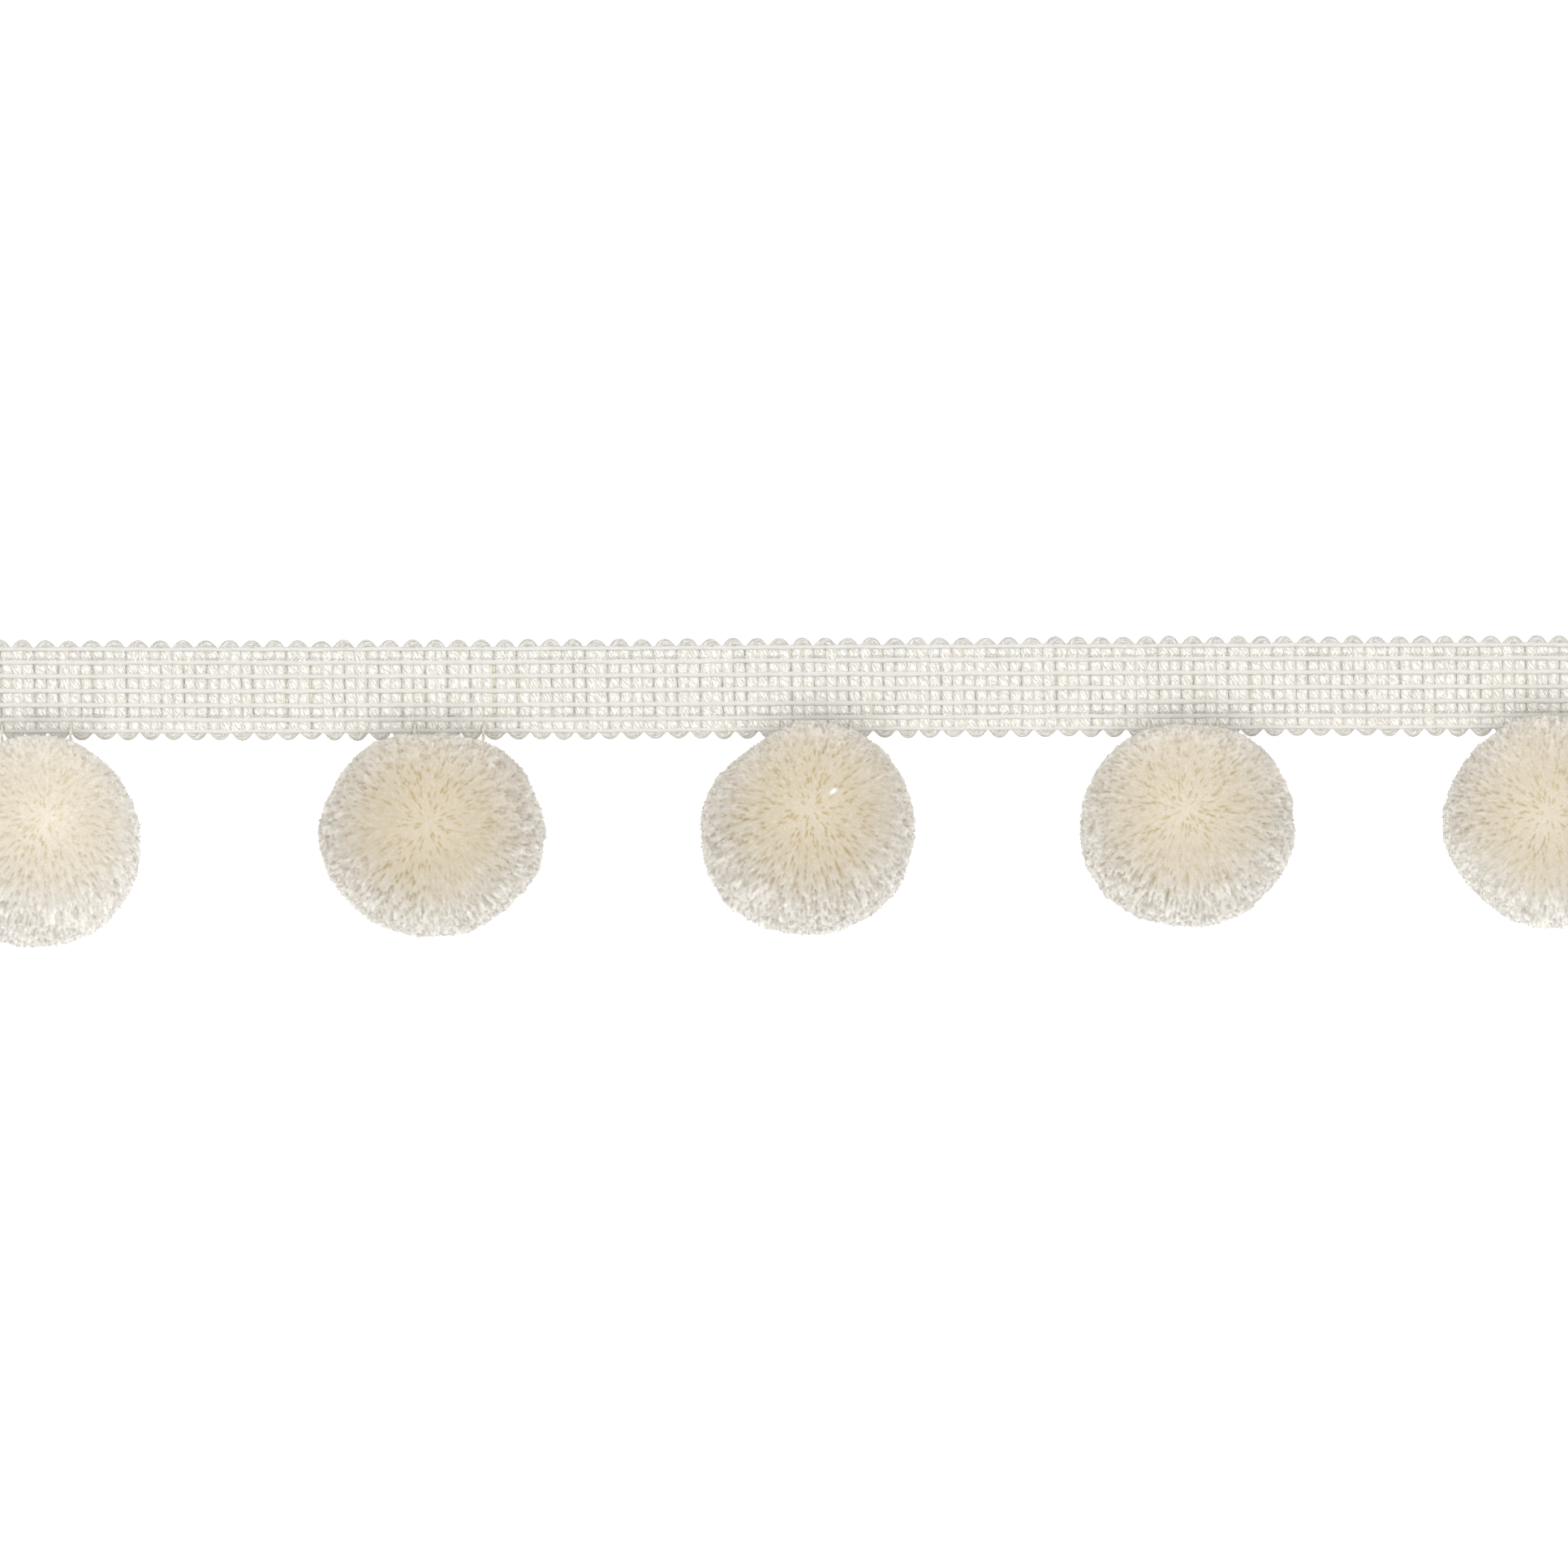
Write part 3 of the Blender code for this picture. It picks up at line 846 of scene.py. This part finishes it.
def tie_line(pompom):
    """Out of the heading, over its edge, round the pompom's core and back."""
    crest = SCALLOP_PITCH / 2 - HALF_LENGTH + LOWER_EDGE_SHIFT
    wanted = (pompom["x"] + pompom["tie_x"]) * MM
    along = crest + round((wanted - crest) / SCALLOP_PITCH) * SCALLOP_PITCH
    sway = float(heading_sway(along))
    waist = pompom_core(pompom) - np.array((0, 0, WAIST_DROP))

    def leg(side):
        x = along + side * TIE_SCALLOPS * SCALLOP_PITCH / 2
        across = STITCH_ACROSS + sway
        bottom = np.array((x, across, STITCH_BOTTOM))
        top = np.array((x, across, STITCH_TOP))
        over = np.array((x, across, BEND_TOP))
        out = np.array((x, BEND_OUT[0] + sway, BEND_OUT[1]))
        aim = np.array((x, LEG_AIM[0] + sway, LEG_AIM[1]))
        end = waist + np.array((side * WAIST_RADIUS, 0, 0))
        return np.concatenate(([bottom], bow(top, over, out, 8)[:-1], bow(out, aim, end, 16)))

    inward = unit(waist - np.array((waist[0], LEG_AIM[0] + sway, LEG_AIM[1])))
    angles = np.linspace(0, math.pi, 9)[1:-1, None]
    sideways = -np.cos(angles) * np.array((1.0, 0, 0))
    turn = waist + (sideways + inward * np.sin(angles)) * WAIST_RADIUS
    return np.concatenate((leg(-1), turn, leg(1)[::-1]))


def make_tie(pompom, settings, material):
    """A two-ply thread, its plies turned round each other."""
    step = 0.22 * MM
    line = resampled(tie_line(pompom), step)
    sides, ups = carried_sides(line)
    turn = 2 * math.pi * step * np.arange(len(line)) / settings.ply_pitch
    radius = settings.thread_radius * 0.56
    parts = []
    for ply in range(2):
        angle = (turn + ply * math.pi)[:, None]
        shift = settings.thread_radius * 0.42
        middle = line + shift * (np.cos(angle) * sides + np.sin(angle) * ups)
        parts.append(tube_arrays(middle, sides, ups, radius, radius,
                                 round_offsets(round_section(6), turn), (0, ply / 2, 1, 0.48)))
    return mesh_object("binding_thread_" + pompom["name"], *joined(parts), material)


# Pompoms

def pompom_middle(pompom):
    return np.array((pompom["x"] * MM, pompom["y"] * MM, MIDDLE_HEIGHT))


def pompom_core(pompom):
    return pompom_middle(pompom) + np.array((pompom["core_x"] * MM, pompom["core_y"] * MM, 0))


def pile_reach(pompom, directions):
    """The pile's reach in each direction: the plan outline made into a ball."""
    count = len(COMPASS)
    angle = np.arctan2(directions[:, 1], directions[:, 0])
    place = (angle / (2 * math.pi) * count) % count
    first = np.floor(place).astype(int) % count
    share = (1 - np.cos(math.pi * (place - np.floor(place)))) / 2
    reaches = np.array([pompom[name] * MM for name in COMPASS])
    wide = reaches[first] * (1 - share) + reaches[(first + 1) % count] * share
    trims = np.array(REACH_TRIMS[pompom["name"]]) * MM
    turned = angle / (2 * math.pi) % 1 * len(trims)
    wide += np.interp(turned, np.arange(len(trims) + 1), [*trims, trims[0]])
    flat = np.hypot(directions[:, 0], directions[:, 1])
    return 1 / np.hypot(flat / wide, directions[:, 2] / HALF_DEPTH)


def even_directions(count, random, scatter):
    """Directions spread evenly over a ball, each moved a little by chance."""
    order = np.arange(count) + 0.5
    height = 1 - 2 * order / count
    angle = math.pi * (1 + math.sqrt(5)) * order
    ring = np.sqrt(1 - height ** 2)
    directions = np.stack((ring * np.cos(angle), ring * np.sin(angle), height), axis=1)
    spacing = math.sqrt(4 * math.pi / count)
    return unit(directions + random.normal(0, scatter * spacing, (count, 3)))


def above_floor(points, core, lowest):
    """Points under the floor drawn back along their lines from the core."""
    lowest = np.broadcast_to(lowest, len(points))
    below = points[:, 2] < lowest
    share = np.where(below, (core[2] - lowest) / np.maximum(core[2] - points[:, 2], 1e-9), 1.0)
    return core + (points - core) * share[:, None]


def fibre_arrays(roots, tips, radius, tint, tones, random):
    """Three-sided fibres that taper to a tip: vertices, faces, map corners and aims.

    tint is each fibre's place along the map; up the map it runs between its two tones.
    """
    count = len(roots)
    axis = unit(tips - roots)
    side = unit(np.cross(axis, unit(random.normal(size=(count, 3)))))
    other = np.cross(axis, side)
    angles = 2 * math.pi * np.arange(3) / 3
    cosines, sines = np.cos(angles)[None, :, None], np.sin(angles)[None, :, None]
    ring = cosines * side[:, None, :] + sines * other[:, None, :]
    low = roots[:, None, :] + ring * radius[:, None, None]
    vertices = np.concatenate((low, tips[:, None, :]), axis=1).reshape(-1, 3)
    shape = np.array([(0, 1, 3), (1, 2, 3), (2, 0, 3), (0, 2, 1)])
    faces = (4 * np.arange(count)[:, None, None] + shape[None]).reshape(-1, 3)
    columns = np.array([(0, 1, 0.5), (1, 2, 1.5), (2, 3, 2.5), (0, 2, 1)]) * FIBRE_SIDE
    rows = np.array([(0, 0, 1), (0, 0, 1), (0, 0, 1), (0, 0, 0.05)])
    u = (0.02 + 0.94 * tint)[:, None, None]
    low, high = (tone[:, None, None] for tone in tones)
    corner_map = np.stack(np.broadcast_arrays(u + columns, low + (high - low) * rows), axis=-1)
    corner_map = corner_map.reshape(-1, 2)
    aims = np.concatenate((FIBRE_SPREAD * ring + axis[:, None, :], 2 * axis[:, None, :]), axis=1)
    return vertices, faces, corner_map, 4 * aims.reshape(-1, 3)


def ball_cage():
    """Directions and faces of a ball of fine triangles, finest at its two poles."""
    bpy.ops.mesh.primitive_ico_sphere_add(subdivisions=7, radius=1)
    ball = bpy.context.object
    directions = np.empty(len(ball.data.vertices) * 3)
    ball.data.vertices.foreach_get("co", directions)
    faces = np.empty(len(ball.data.loops), dtype=int)
    ball.data.loops.foreach_get("vertex_index", faces)
    bpy.data.objects.remove(ball, do_unlink=True)
    directions = unit(directions.reshape(-1, 3))
    polar = np.arccos(np.clip(directions[:, 2], -1, 1))
    drawn = polar - POLE_DRAW * np.sin(2 * polar)
    directions[:, :2] *= (np.sin(drawn) / np.maximum(np.sin(polar), 1e-9))[:, None]
    directions[:, 2] = np.cos(drawn)
    return directions, faces.reshape(-1, 3)


def looseness(directions, first=0.94, width=0.55):
    """0 on the dense trimmed face and back of the pile, 1 round its loose sides."""
    share = np.clip((first - np.abs(directions[:, 2])) / width, 0, 1)
    return share * share * (3 - 2 * share)


def tuft_grid(columns, stretch, random):
    """Seeds of tufts that run from pole to pole, so many round the ball."""
    rows = 2 * int(0.5 * columns / stretch) + 4
    places = random.uniform(0.1, 0.9, (rows, columns, 2))
    return columns, stretch, places, random.normal(0, 1, (rows, columns)).clip(-2, 2)


def in_tufts(directions, grid):
    """Each place's tuft value, and how far inside its tuft it lies (0 to about 1)."""
    columns, stretch, places, values = grid
    rows = len(values)
    x = np.arctan2(directions[:, 1], directions[:, 0]) / (2 * math.pi) % 1 * columns
    y = np.arctanh(directions[:, 2].clip(-0.995, 0.995)) / (2 * math.pi) * columns / stretch
    y = y + rows / 2
    column, row = np.floor(x).astype(int), np.floor(y).astype(int)
    best, second = np.full(len(x), 9.0), np.full(len(x), 9.0)
    value = np.zeros(len(x))
    for down in (-1, 0, 1):
        for side in (-1, 0, 1):
            at_row, at_column = (row + down) % rows, (column + side) % columns
            place = places[at_row, at_column]
            away = np.hypot(x - column - side - place[:, 0], y - row - down - place[:, 1])
            second = np.minimum(second, np.maximum(best, away))
            value = np.where(away < best, values[at_row, at_column], value)
            best = np.minimum(best, away)
    return value, np.clip((second - best) / 0.5, 0, 1)


def toward_core(pompom, directions):
    """Directions turned so that the pile's pattern runs out from over its bound core."""
    pole = unit(np.array((pompom["core_x"] * MM, pompom["core_y"] * MM, HALF_DEPTH)))
    east = unit(np.cross((0.0, 1.0, 0.0), pole))
    return directions @ np.stack((east, np.cross(pole, east), pole), axis=1)


def parting_slits(pompom, settings, random):
    """The pile's partings: their places, half lengths, half widths and depths."""
    count = settings.partings
    places = even_directions(count, random, 0.6)
    half_long = random.uniform(0.25 * MM, 0.9 * MM, count)
    half_wide = random.uniform(0.10 * MM, 0.20 * MM, count)
    busy = unit(random.normal(size=(36, 3)))
    clearer = np.interp((places @ busy.T).max(axis=1), (0.86, 0.97), (0.5, 1.0))
    over_core = np.abs(places[:, 2])
    clearer = np.maximum(clearer, np.interp(over_core, (0.92, 0.97), (0.4, 0.95)))
    depth = random.uniform(0.6, 1.2, count) * clearer * np.clip((1 - over_core) * 200, 0, 1)
    plain = np.array([row[1:] for row in PLAIN_PARTINGS if row[0] == pompom["name"]])
    angle, ring = np.radians(plain[:, 0]), plain[:, 1] * MM / settings.ball_radius
    flat = ring * np.cos(angle), ring * np.sin(angle)
    plain_places = np.stack((*flat, np.sqrt(1 - ring ** 2)), axis=1)
    return (places, half_long, half_wide, depth), (plain_places, *plain[:, 2:4].T * MM, plain[:, 4])


def in_slit(directions, place, half_long, half_wide, settings):
    """0 outside a parting that runs out from the core, up to 1 in its middle."""
    east = unit(np.cross(UP, place))
    north = np.cross(place, east)
    away = (directions - place) * settings.ball_radius
    along = np.sum(away * north, axis=1) / half_long
    across = np.sum(away * east, axis=1) / half_wide
    return np.clip(1.3 - np.hypot(along, across), 0, 1)


def parting_depth(pompom, directions, slits, settings):
    """How deep each place lies in a parting; below 0 where a fleck stands out."""
    turned = toward_core(pompom, directions)
    places, half_long, half_wide, depth = slits[0]
    nearest = np.empty(len(turned), dtype=int)
    for low in range(0, len(turned), 4096):
        part = slice(low, min(low + 4096, len(turned)))
        nearest[part] = (turned[part] @ places.T).argmax(axis=1)
    parted = depth[nearest] * in_slit(turned, places[nearest], half_long[nearest],
                                      half_wide[nearest], settings)
    parted *= 1 - PARTING_FADE * looseness(turned, 0.97)
    for place, long, wide, deep in zip(*slits[1]):
        inside = in_slit(turned, place, long, wide, settings) * (turned @ place > 0.9)
        parted = np.where(inside > 0, deep * inside, parted)
    return parted


def pile_relief(pompom, directions, grids, settings):
    """Height of the pile over its trimmed outline, its place up the map and its tint."""
    turned = toward_core(pompom, directions)
    loose = looseness(turned)
    tuft, inside = in_tufts(turned, grids[0])
    strand, strand_inside = in_tufts(turned, grids[1])
    lump, _ = in_tufts(turned, grids[2])
    gap = (1 - inside) ** 2
    height = settings.tuft_relief * (tuft - 0.7) + settings.lump_relief * lump
    height += settings.strand_relief * (strand - (1 - strand_inside)) - settings.groove * gap
    # Painted sheen pales the tone round the loose sides, and painted light pales it more on the side
    # towards -Y; in the grooves between tufts, painted shade takes it down.
    pale = looseness(turned, PAINTED_SHEEN_FROM) * (PAINTED_SHEEN_RISE - PAINTED_LIGHT_BELOW * directions[:, 1])
    tone = FACE_PLACE + pale + loose * (0.02 * tuft + 0.04 * strand - 0.06 * gap)
    tint = 0.05 * tuft * loose + 0.05 * strand
    return loose * height, tone, tint, loose


def pile_surface(pompom, settings, cage, grids, slits, random):
    """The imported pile: one closed surface, fine on its face and tufted round its sides."""
    directions, faces = cage
    middle, core = pompom_middle(pompom), pompom_core(pompom)
    surface = middle + directions * pile_reach(pompom, directions)[:, None]
    height, tone, tint, loose = pile_relief(pompom, directions, grids, settings)
    parted = parting_depth(pompom, directions, slits, settings)
    height += settings.fibre_relief * random.uniform(-1, 1, len(directions)) * (1 + loose)
    height -= settings.parting_depth * (1 + 2 * loose) * parted
    lift = 1 + (height - settings.trim) / settings.ball_radius
    vertices = above_floor(core + (surface - core) * lift[:, None], core, FLOOR_GAP)
    tint = 0.5 + PILE_TINTS[pompom["name"]] + tint + 0.05 * random.normal(size=len(directions))
    # Painted shade: in the partings the tone is taken down towards the root tone.
    tone = tone - PARTING_PAINTED_SHADE * parted + 0.02 * random.normal(size=len(directions))
    spots = np.stack((0.02 + 0.94 * np.clip(tint, 0, 1), np.clip(tone, 0.05, 0.97)), axis=1)
    return vertices, faces, spots[faces.ravel()], settings.softness * unit(surface - core)


def make_pompom(pompom, settings, cage, material):
    """A ball of cut pile, with fibres that stand out of its loose sides."""
    random = np.random.default_rng(700 + int(pompom["name"]))
    middle, core = pompom_middle(pompom), pompom_core(pompom)
    grids = [tuft_grid(columns, stretch, random) for columns, stretch in PILE_GRIDS]
    slits = parting_slits(pompom, settings, random)
    pile = pile_surface(pompom, settings, cage, grids, slits, random)
    count = settings.fibres
    spread = even_directions(int(count * 2.2), random, 0.8)
    parted = parting_depth(pompom, spread, slits, settings)
    chance = looseness(toward_core(pompom, spread)) * np.clip(1 - 3 * np.abs(parted), 0, 1) + 1e-6
    chosen = random.choice(len(spread), count, replace=False, p=chance / chance.sum())
    directions = spread[chosen]
    height, tone, tint, loose = pile_relief(pompom, directions, grids, settings)
    surface = middle + directions * pile_reach(pompom, directions)[:, None]
    base = 1 + (height - settings.trim) / settings.ball_radius
    stand = settings.fibre_stand * random.uniform(0.3, 1.5, count) * (0.3 + 0.7 * loose)
    tips = core + (surface - core) * (base + stand / settings.ball_radius)[:, None]
    tips = above_floor(tips + random.normal(0, FIBRE_STRAY, tips.shape), core, FLOOR_GAP)
    roots = core + (surface - core) * (base - FIBRE_ROOT / settings.ball_radius)[:, None]
    roots = above_floor(roots, core, ROOT_HEIGHT)
    radius = settings.fibre_radius * random.uniform(0.7, 1.2, count)
    tint = 0.5 + PILE_TINTS[pompom["name"]] + tint + 0.10 * random.normal(size=count)
    # Painted sheen: round the loose sides a fibre is paler towards its tip.
    tip_tone = np.clip(tone + TIP_PAINTED_SHEEN * loose, FACE_PLACE, 1)
    fibres = fibre_arrays(roots, tips, radius, np.clip(tint, 0, 1), (tone, tip_tone), random)
    aims = np.concatenate((pile[3], fibres[3]))
    return mesh_object("pile_" + pompom["name"], *joined((pile[:3], fibres[:3])), material, aims)


# Operators

class FRINGE_OT_stage(bpy.types.Operator):
    """Lay the floor and set the camera and the soft lights"""
    bl_idname = "fringe.stage"
    bl_label = "Floor, Camera and Lights"

    def execute(self, context):
        settings = context.scene.fringe_stage
        add_floor(settings)
        add_camera(context, settings)
        add_lights(context, settings)
        return {"FINISHED"}


class FRINGE_OT_weft(bpy.types.Operator):
    """Weave the twisted cord to and fro across the heading"""
    bl_idname = "fringe.weft"
    bl_label = "Weft Cord"

    def execute(self, context):
        settings = context.scene.fringe_heading
        # The third colour is painted shade, for the lines between the cord's strands.
        cord = yarn_material(
            "silky cord", tuple(settings.cord_tone), (0.71, 0.695, 0.66), (0.49, 0.455, 0.375),
            CORD_STRANDS * MAP_COLUMNS, 1.7, (220.0, 290.0, 4.4), (0.2, 0.6), 0.10 * MM, 0.3,
            settings.picot_shade)
        halves = make_weft(settings, cord)
        dress(halves[0], "heading_weave", "heading")
        dress(halves[1], "heading_weave")
        return {"FINISHED"}


class FRINGE_OT_warps(bpy.types.Operator):
    """Lay the warp bands along the heading, over and under the cord"""
    bl_idname = "fringe.warps"
    bl_label = "Warp Bands"

    def execute(self, context):
        settings = context.scene.fringe_heading
        # The third colour is painted shade, for the lines between the band's strands.
        band = yarn_material(
            "matt warp", tuple(settings.band_tone), (0.50, 0.49, 0.46), (0.43, 0.42, 0.38),
            5 * WARP_ROWS, 0.6, (330.0, 90.0, 2.0), (0.55, 0.75), 0.03 * MM, 0.1)
        for piece in make_warps(settings, band):
            dress(piece, "heading_weave")
        return {"FINISHED"}


class FRINGE_OT_ground(bpy.types.Operator):
    bl_idname = "fringe.ground"
    bl_label = "Heading Cloth"

    def execute(self, context):
        settings = context.scene.fringe_heading
        # The inner weave's darker, warmer tone and its third colour are painted shade, for the gaps
        # between the cords and the lines between strands.
        gap_shade_web = yarn_material(
            "inner weave", (0.72, 0.67, 0.54), (0.68, 0.62, 0.49), (0.56, 0.50, 0.37),
            200.0, 0.6, (900.0, 60.0, 1.5), (0.7, 0.9), 0.03 * MM, 0.0)
        ground = dress(make_ground(settings, gap_shade_web), "heading_weave")
        woven = [obj for obj in bpy.data.objects if obj.name.startswith(("weft_", "warp_"))]
        if len(woven) != 2 + len(WARP_BANDS):
            raise RuntimeError("the cord and the warp bands are made before the heading cloth")
        return {"FINISHED"}


class FRINGE_OT_ties(bpy.types.Operator):
    """Bind each pompom to the heading with its thread"""
    bl_idname = "fringe.ties"
    bl_label = "Binding Threads"

    def execute(self, context):
        settings = context.scene.fringe_tie
        # The third colour is painted shade, for the lines between the thread's strands.
        thread = yarn_material(
            "binding thread", tuple(settings.thread_tone), (0.76, 0.72, 0.63), (0.60, 0.55, 0.44),
            12.0, 0.5, (300.0, 60.0, 1.8), (0.45, 0.65), 0.03 * MM, 0.15)
        for row in POMPOMS:
            pompom = dict(zip(POMPOM_COLUMNS, row))
            dress(make_tie(pompom, settings, thread), "binding_thread", "tie_" + pompom["name"])
        return {"FINISHED"}


class FRINGE_OT_pompoms(bpy.types.Operator):
    """Build the pompoms from strands of cut pile"""
    bl_idname = "fringe.pompoms"
    bl_label = "Pompoms"

    def execute(self, context):
        settings = context.scene.fringe_pile
        pile = pile_material("cut pile", (
            (0.0, tuple(settings.parting_shade_tone)), (0.15, tuple(settings.parting_shade_tone)),
            (0.44, tuple(settings.face_tone)), (0.51, tuple(settings.face_tone)),
            (0.70, tuple(settings.side_tone)), (0.97, tuple(settings.tip_tone))))
        cage = ball_cage()
        for row in POMPOMS:
            pompom = dict(zip(POMPOM_COLUMNS, row))
            piece = make_pompom(pompom, settings, cage, pile)
            dress(piece, "pompom_pile", "pompom_" + pompom["name"])
        return {"FINISHED"}


# Stage

def add_floor(settings):
    material = bpy.data.materials.new("pale floor")
    material.use_nodes = True
    shader = material.node_tree.nodes["Principled BSDF"]
    shader.inputs["Base Color"].default_value = (*settings.floor_tone, 1)
    shader.inputs["Roughness"].default_value = 0.9
    shader.inputs["Specular IOR Level"].default_value = 0.0
    shader.inputs["Emission Color"].default_value = (1, 1, 1, 1)
    shader.inputs["Emission Strength"].default_value = settings.floor_glow
    bpy.ops.mesh.primitive_plane_add(size=14, location=(0, 0, -0.05 * MM))
    floor = bpy.context.object
    floor.name = "floor"
    floor.data.materials.append(material)


def add_camera(context, settings):
    """A long lens straight above the face, framed as the picture is."""
    view_centre = (-0.85 * MM, -11.85 * MM)
    plane_height = 6 * MM
    camera = bpy.data.cameras.new("camera")
    camera.sensor_width = 36
    distance = settings.camera_height - plane_height
    camera.lens = camera.sensor_width * distance / settings.picture_width
    camera.clip_start = 0.05
    camera.clip_end = 100
    eye = bpy.data.objects.new("camera", camera)
    eye.location = (*view_centre, settings.camera_height)
    context.scene.collection.objects.link(eye)
    context.scene.camera = eye


def add_area_light(context, name, place, aim, size, power, tone):
    light = bpy.data.lights.new(name, "AREA")
    light.shape = "DISK"
    light.size = size
    light.energy = power
    light.color = tone
    lamp = bpy.data.objects.new(name, light)
    lamp.location = place
    lamp.rotation_euler = (Vector(aim) - Vector(place)).to_track_quat("-Z", "Y").to_euler()
    context.scene.collection.objects.link(lamp)


def add_lights(context, settings):
    """Even sky, a soft key from almost straight above and a weaker fill from above and behind."""
    world = bpy.data.worlds.new("studio")
    world.use_nodes = True
    sky = world.node_tree.nodes["Background"]
    sky.inputs["Color"].default_value = (1.0, 1.0, 1.0, 1)
    sky.inputs["Strength"].default_value = settings.sky_strength
    context.scene.world = world
    middle = (0, -0.012, 0)
    add_area_light(context, "key", (-0.08, -0.16, 1.9), middle, 1.3,
                   settings.key_power, (1, 0.995, 0.98))
    add_area_light(context, "fill", (0.3, 0.6, 1.8), middle, 1.4,
                   settings.key_power * FILL_SHARE, (0.97, 0.985, 1))
    context.scene.view_settings.view_transform = "Standard"


# Panel

class FRINGE_PT_panel(bpy.types.Panel):
    """Lists the trim's pieces in the order in which they are made"""
    bl_idname = "FRINGE_PT_panel"
    bl_label = "Pompom Fringe Trim"
    bl_space_type = "VIEW_3D"
    bl_region_type = "UI"
    bl_category = "Fringe"

    def draw(self, context):
        layout = self.layout
        for operator in OPERATORS:
            layout.operator(operator.bl_idname)
        for name in SETTINGS:
            group = getattr(context.scene, name)
            box = layout.box()
            for key in group.__annotations__:
                box.prop(group, key)


SETTINGS = {
    "fringe_heading": HeadingSettings,
    "fringe_pile": PileSettings,
    "fringe_tie": TieSettings,
    "fringe_stage": StageSettings,
}
OPERATORS = (
    FRINGE_OT_stage,
    FRINGE_OT_weft,
    FRINGE_OT_warps,
    FRINGE_OT_ground,
    FRINGE_OT_ties,
    FRINGE_OT_pompoms,
)


def register():
    for group in SETTINGS.values():
        bpy.utils.register_class(group)
    for operator in OPERATORS:
        bpy.utils.register_class(operator)
    bpy.utils.register_class(FRINGE_PT_panel)
    for name, group in SETTINGS.items():
        setattr(bpy.types.Scene, name, bpy.props.PointerProperty(type=group))


def unregister():
    for name in SETTINGS:
        delattr(bpy.types.Scene, name)
    bpy.utils.unregister_class(FRINGE_PT_panel)
    for operator in reversed(OPERATORS):
        bpy.utils.unregister_class(operator)
    for group in reversed(list(SETTINGS.values())):
        bpy.utils.unregister_class(group)


def main():
    register()
    bpy.ops.fringe.stage()
    bpy.ops.fringe.weft()
    bpy.ops.fringe.warps()
    bpy.ops.fringe.ground()
    bpy.ops.fringe.ties()
    bpy.ops.fringe.pompoms()


if __name__ == "__main__":
    main()
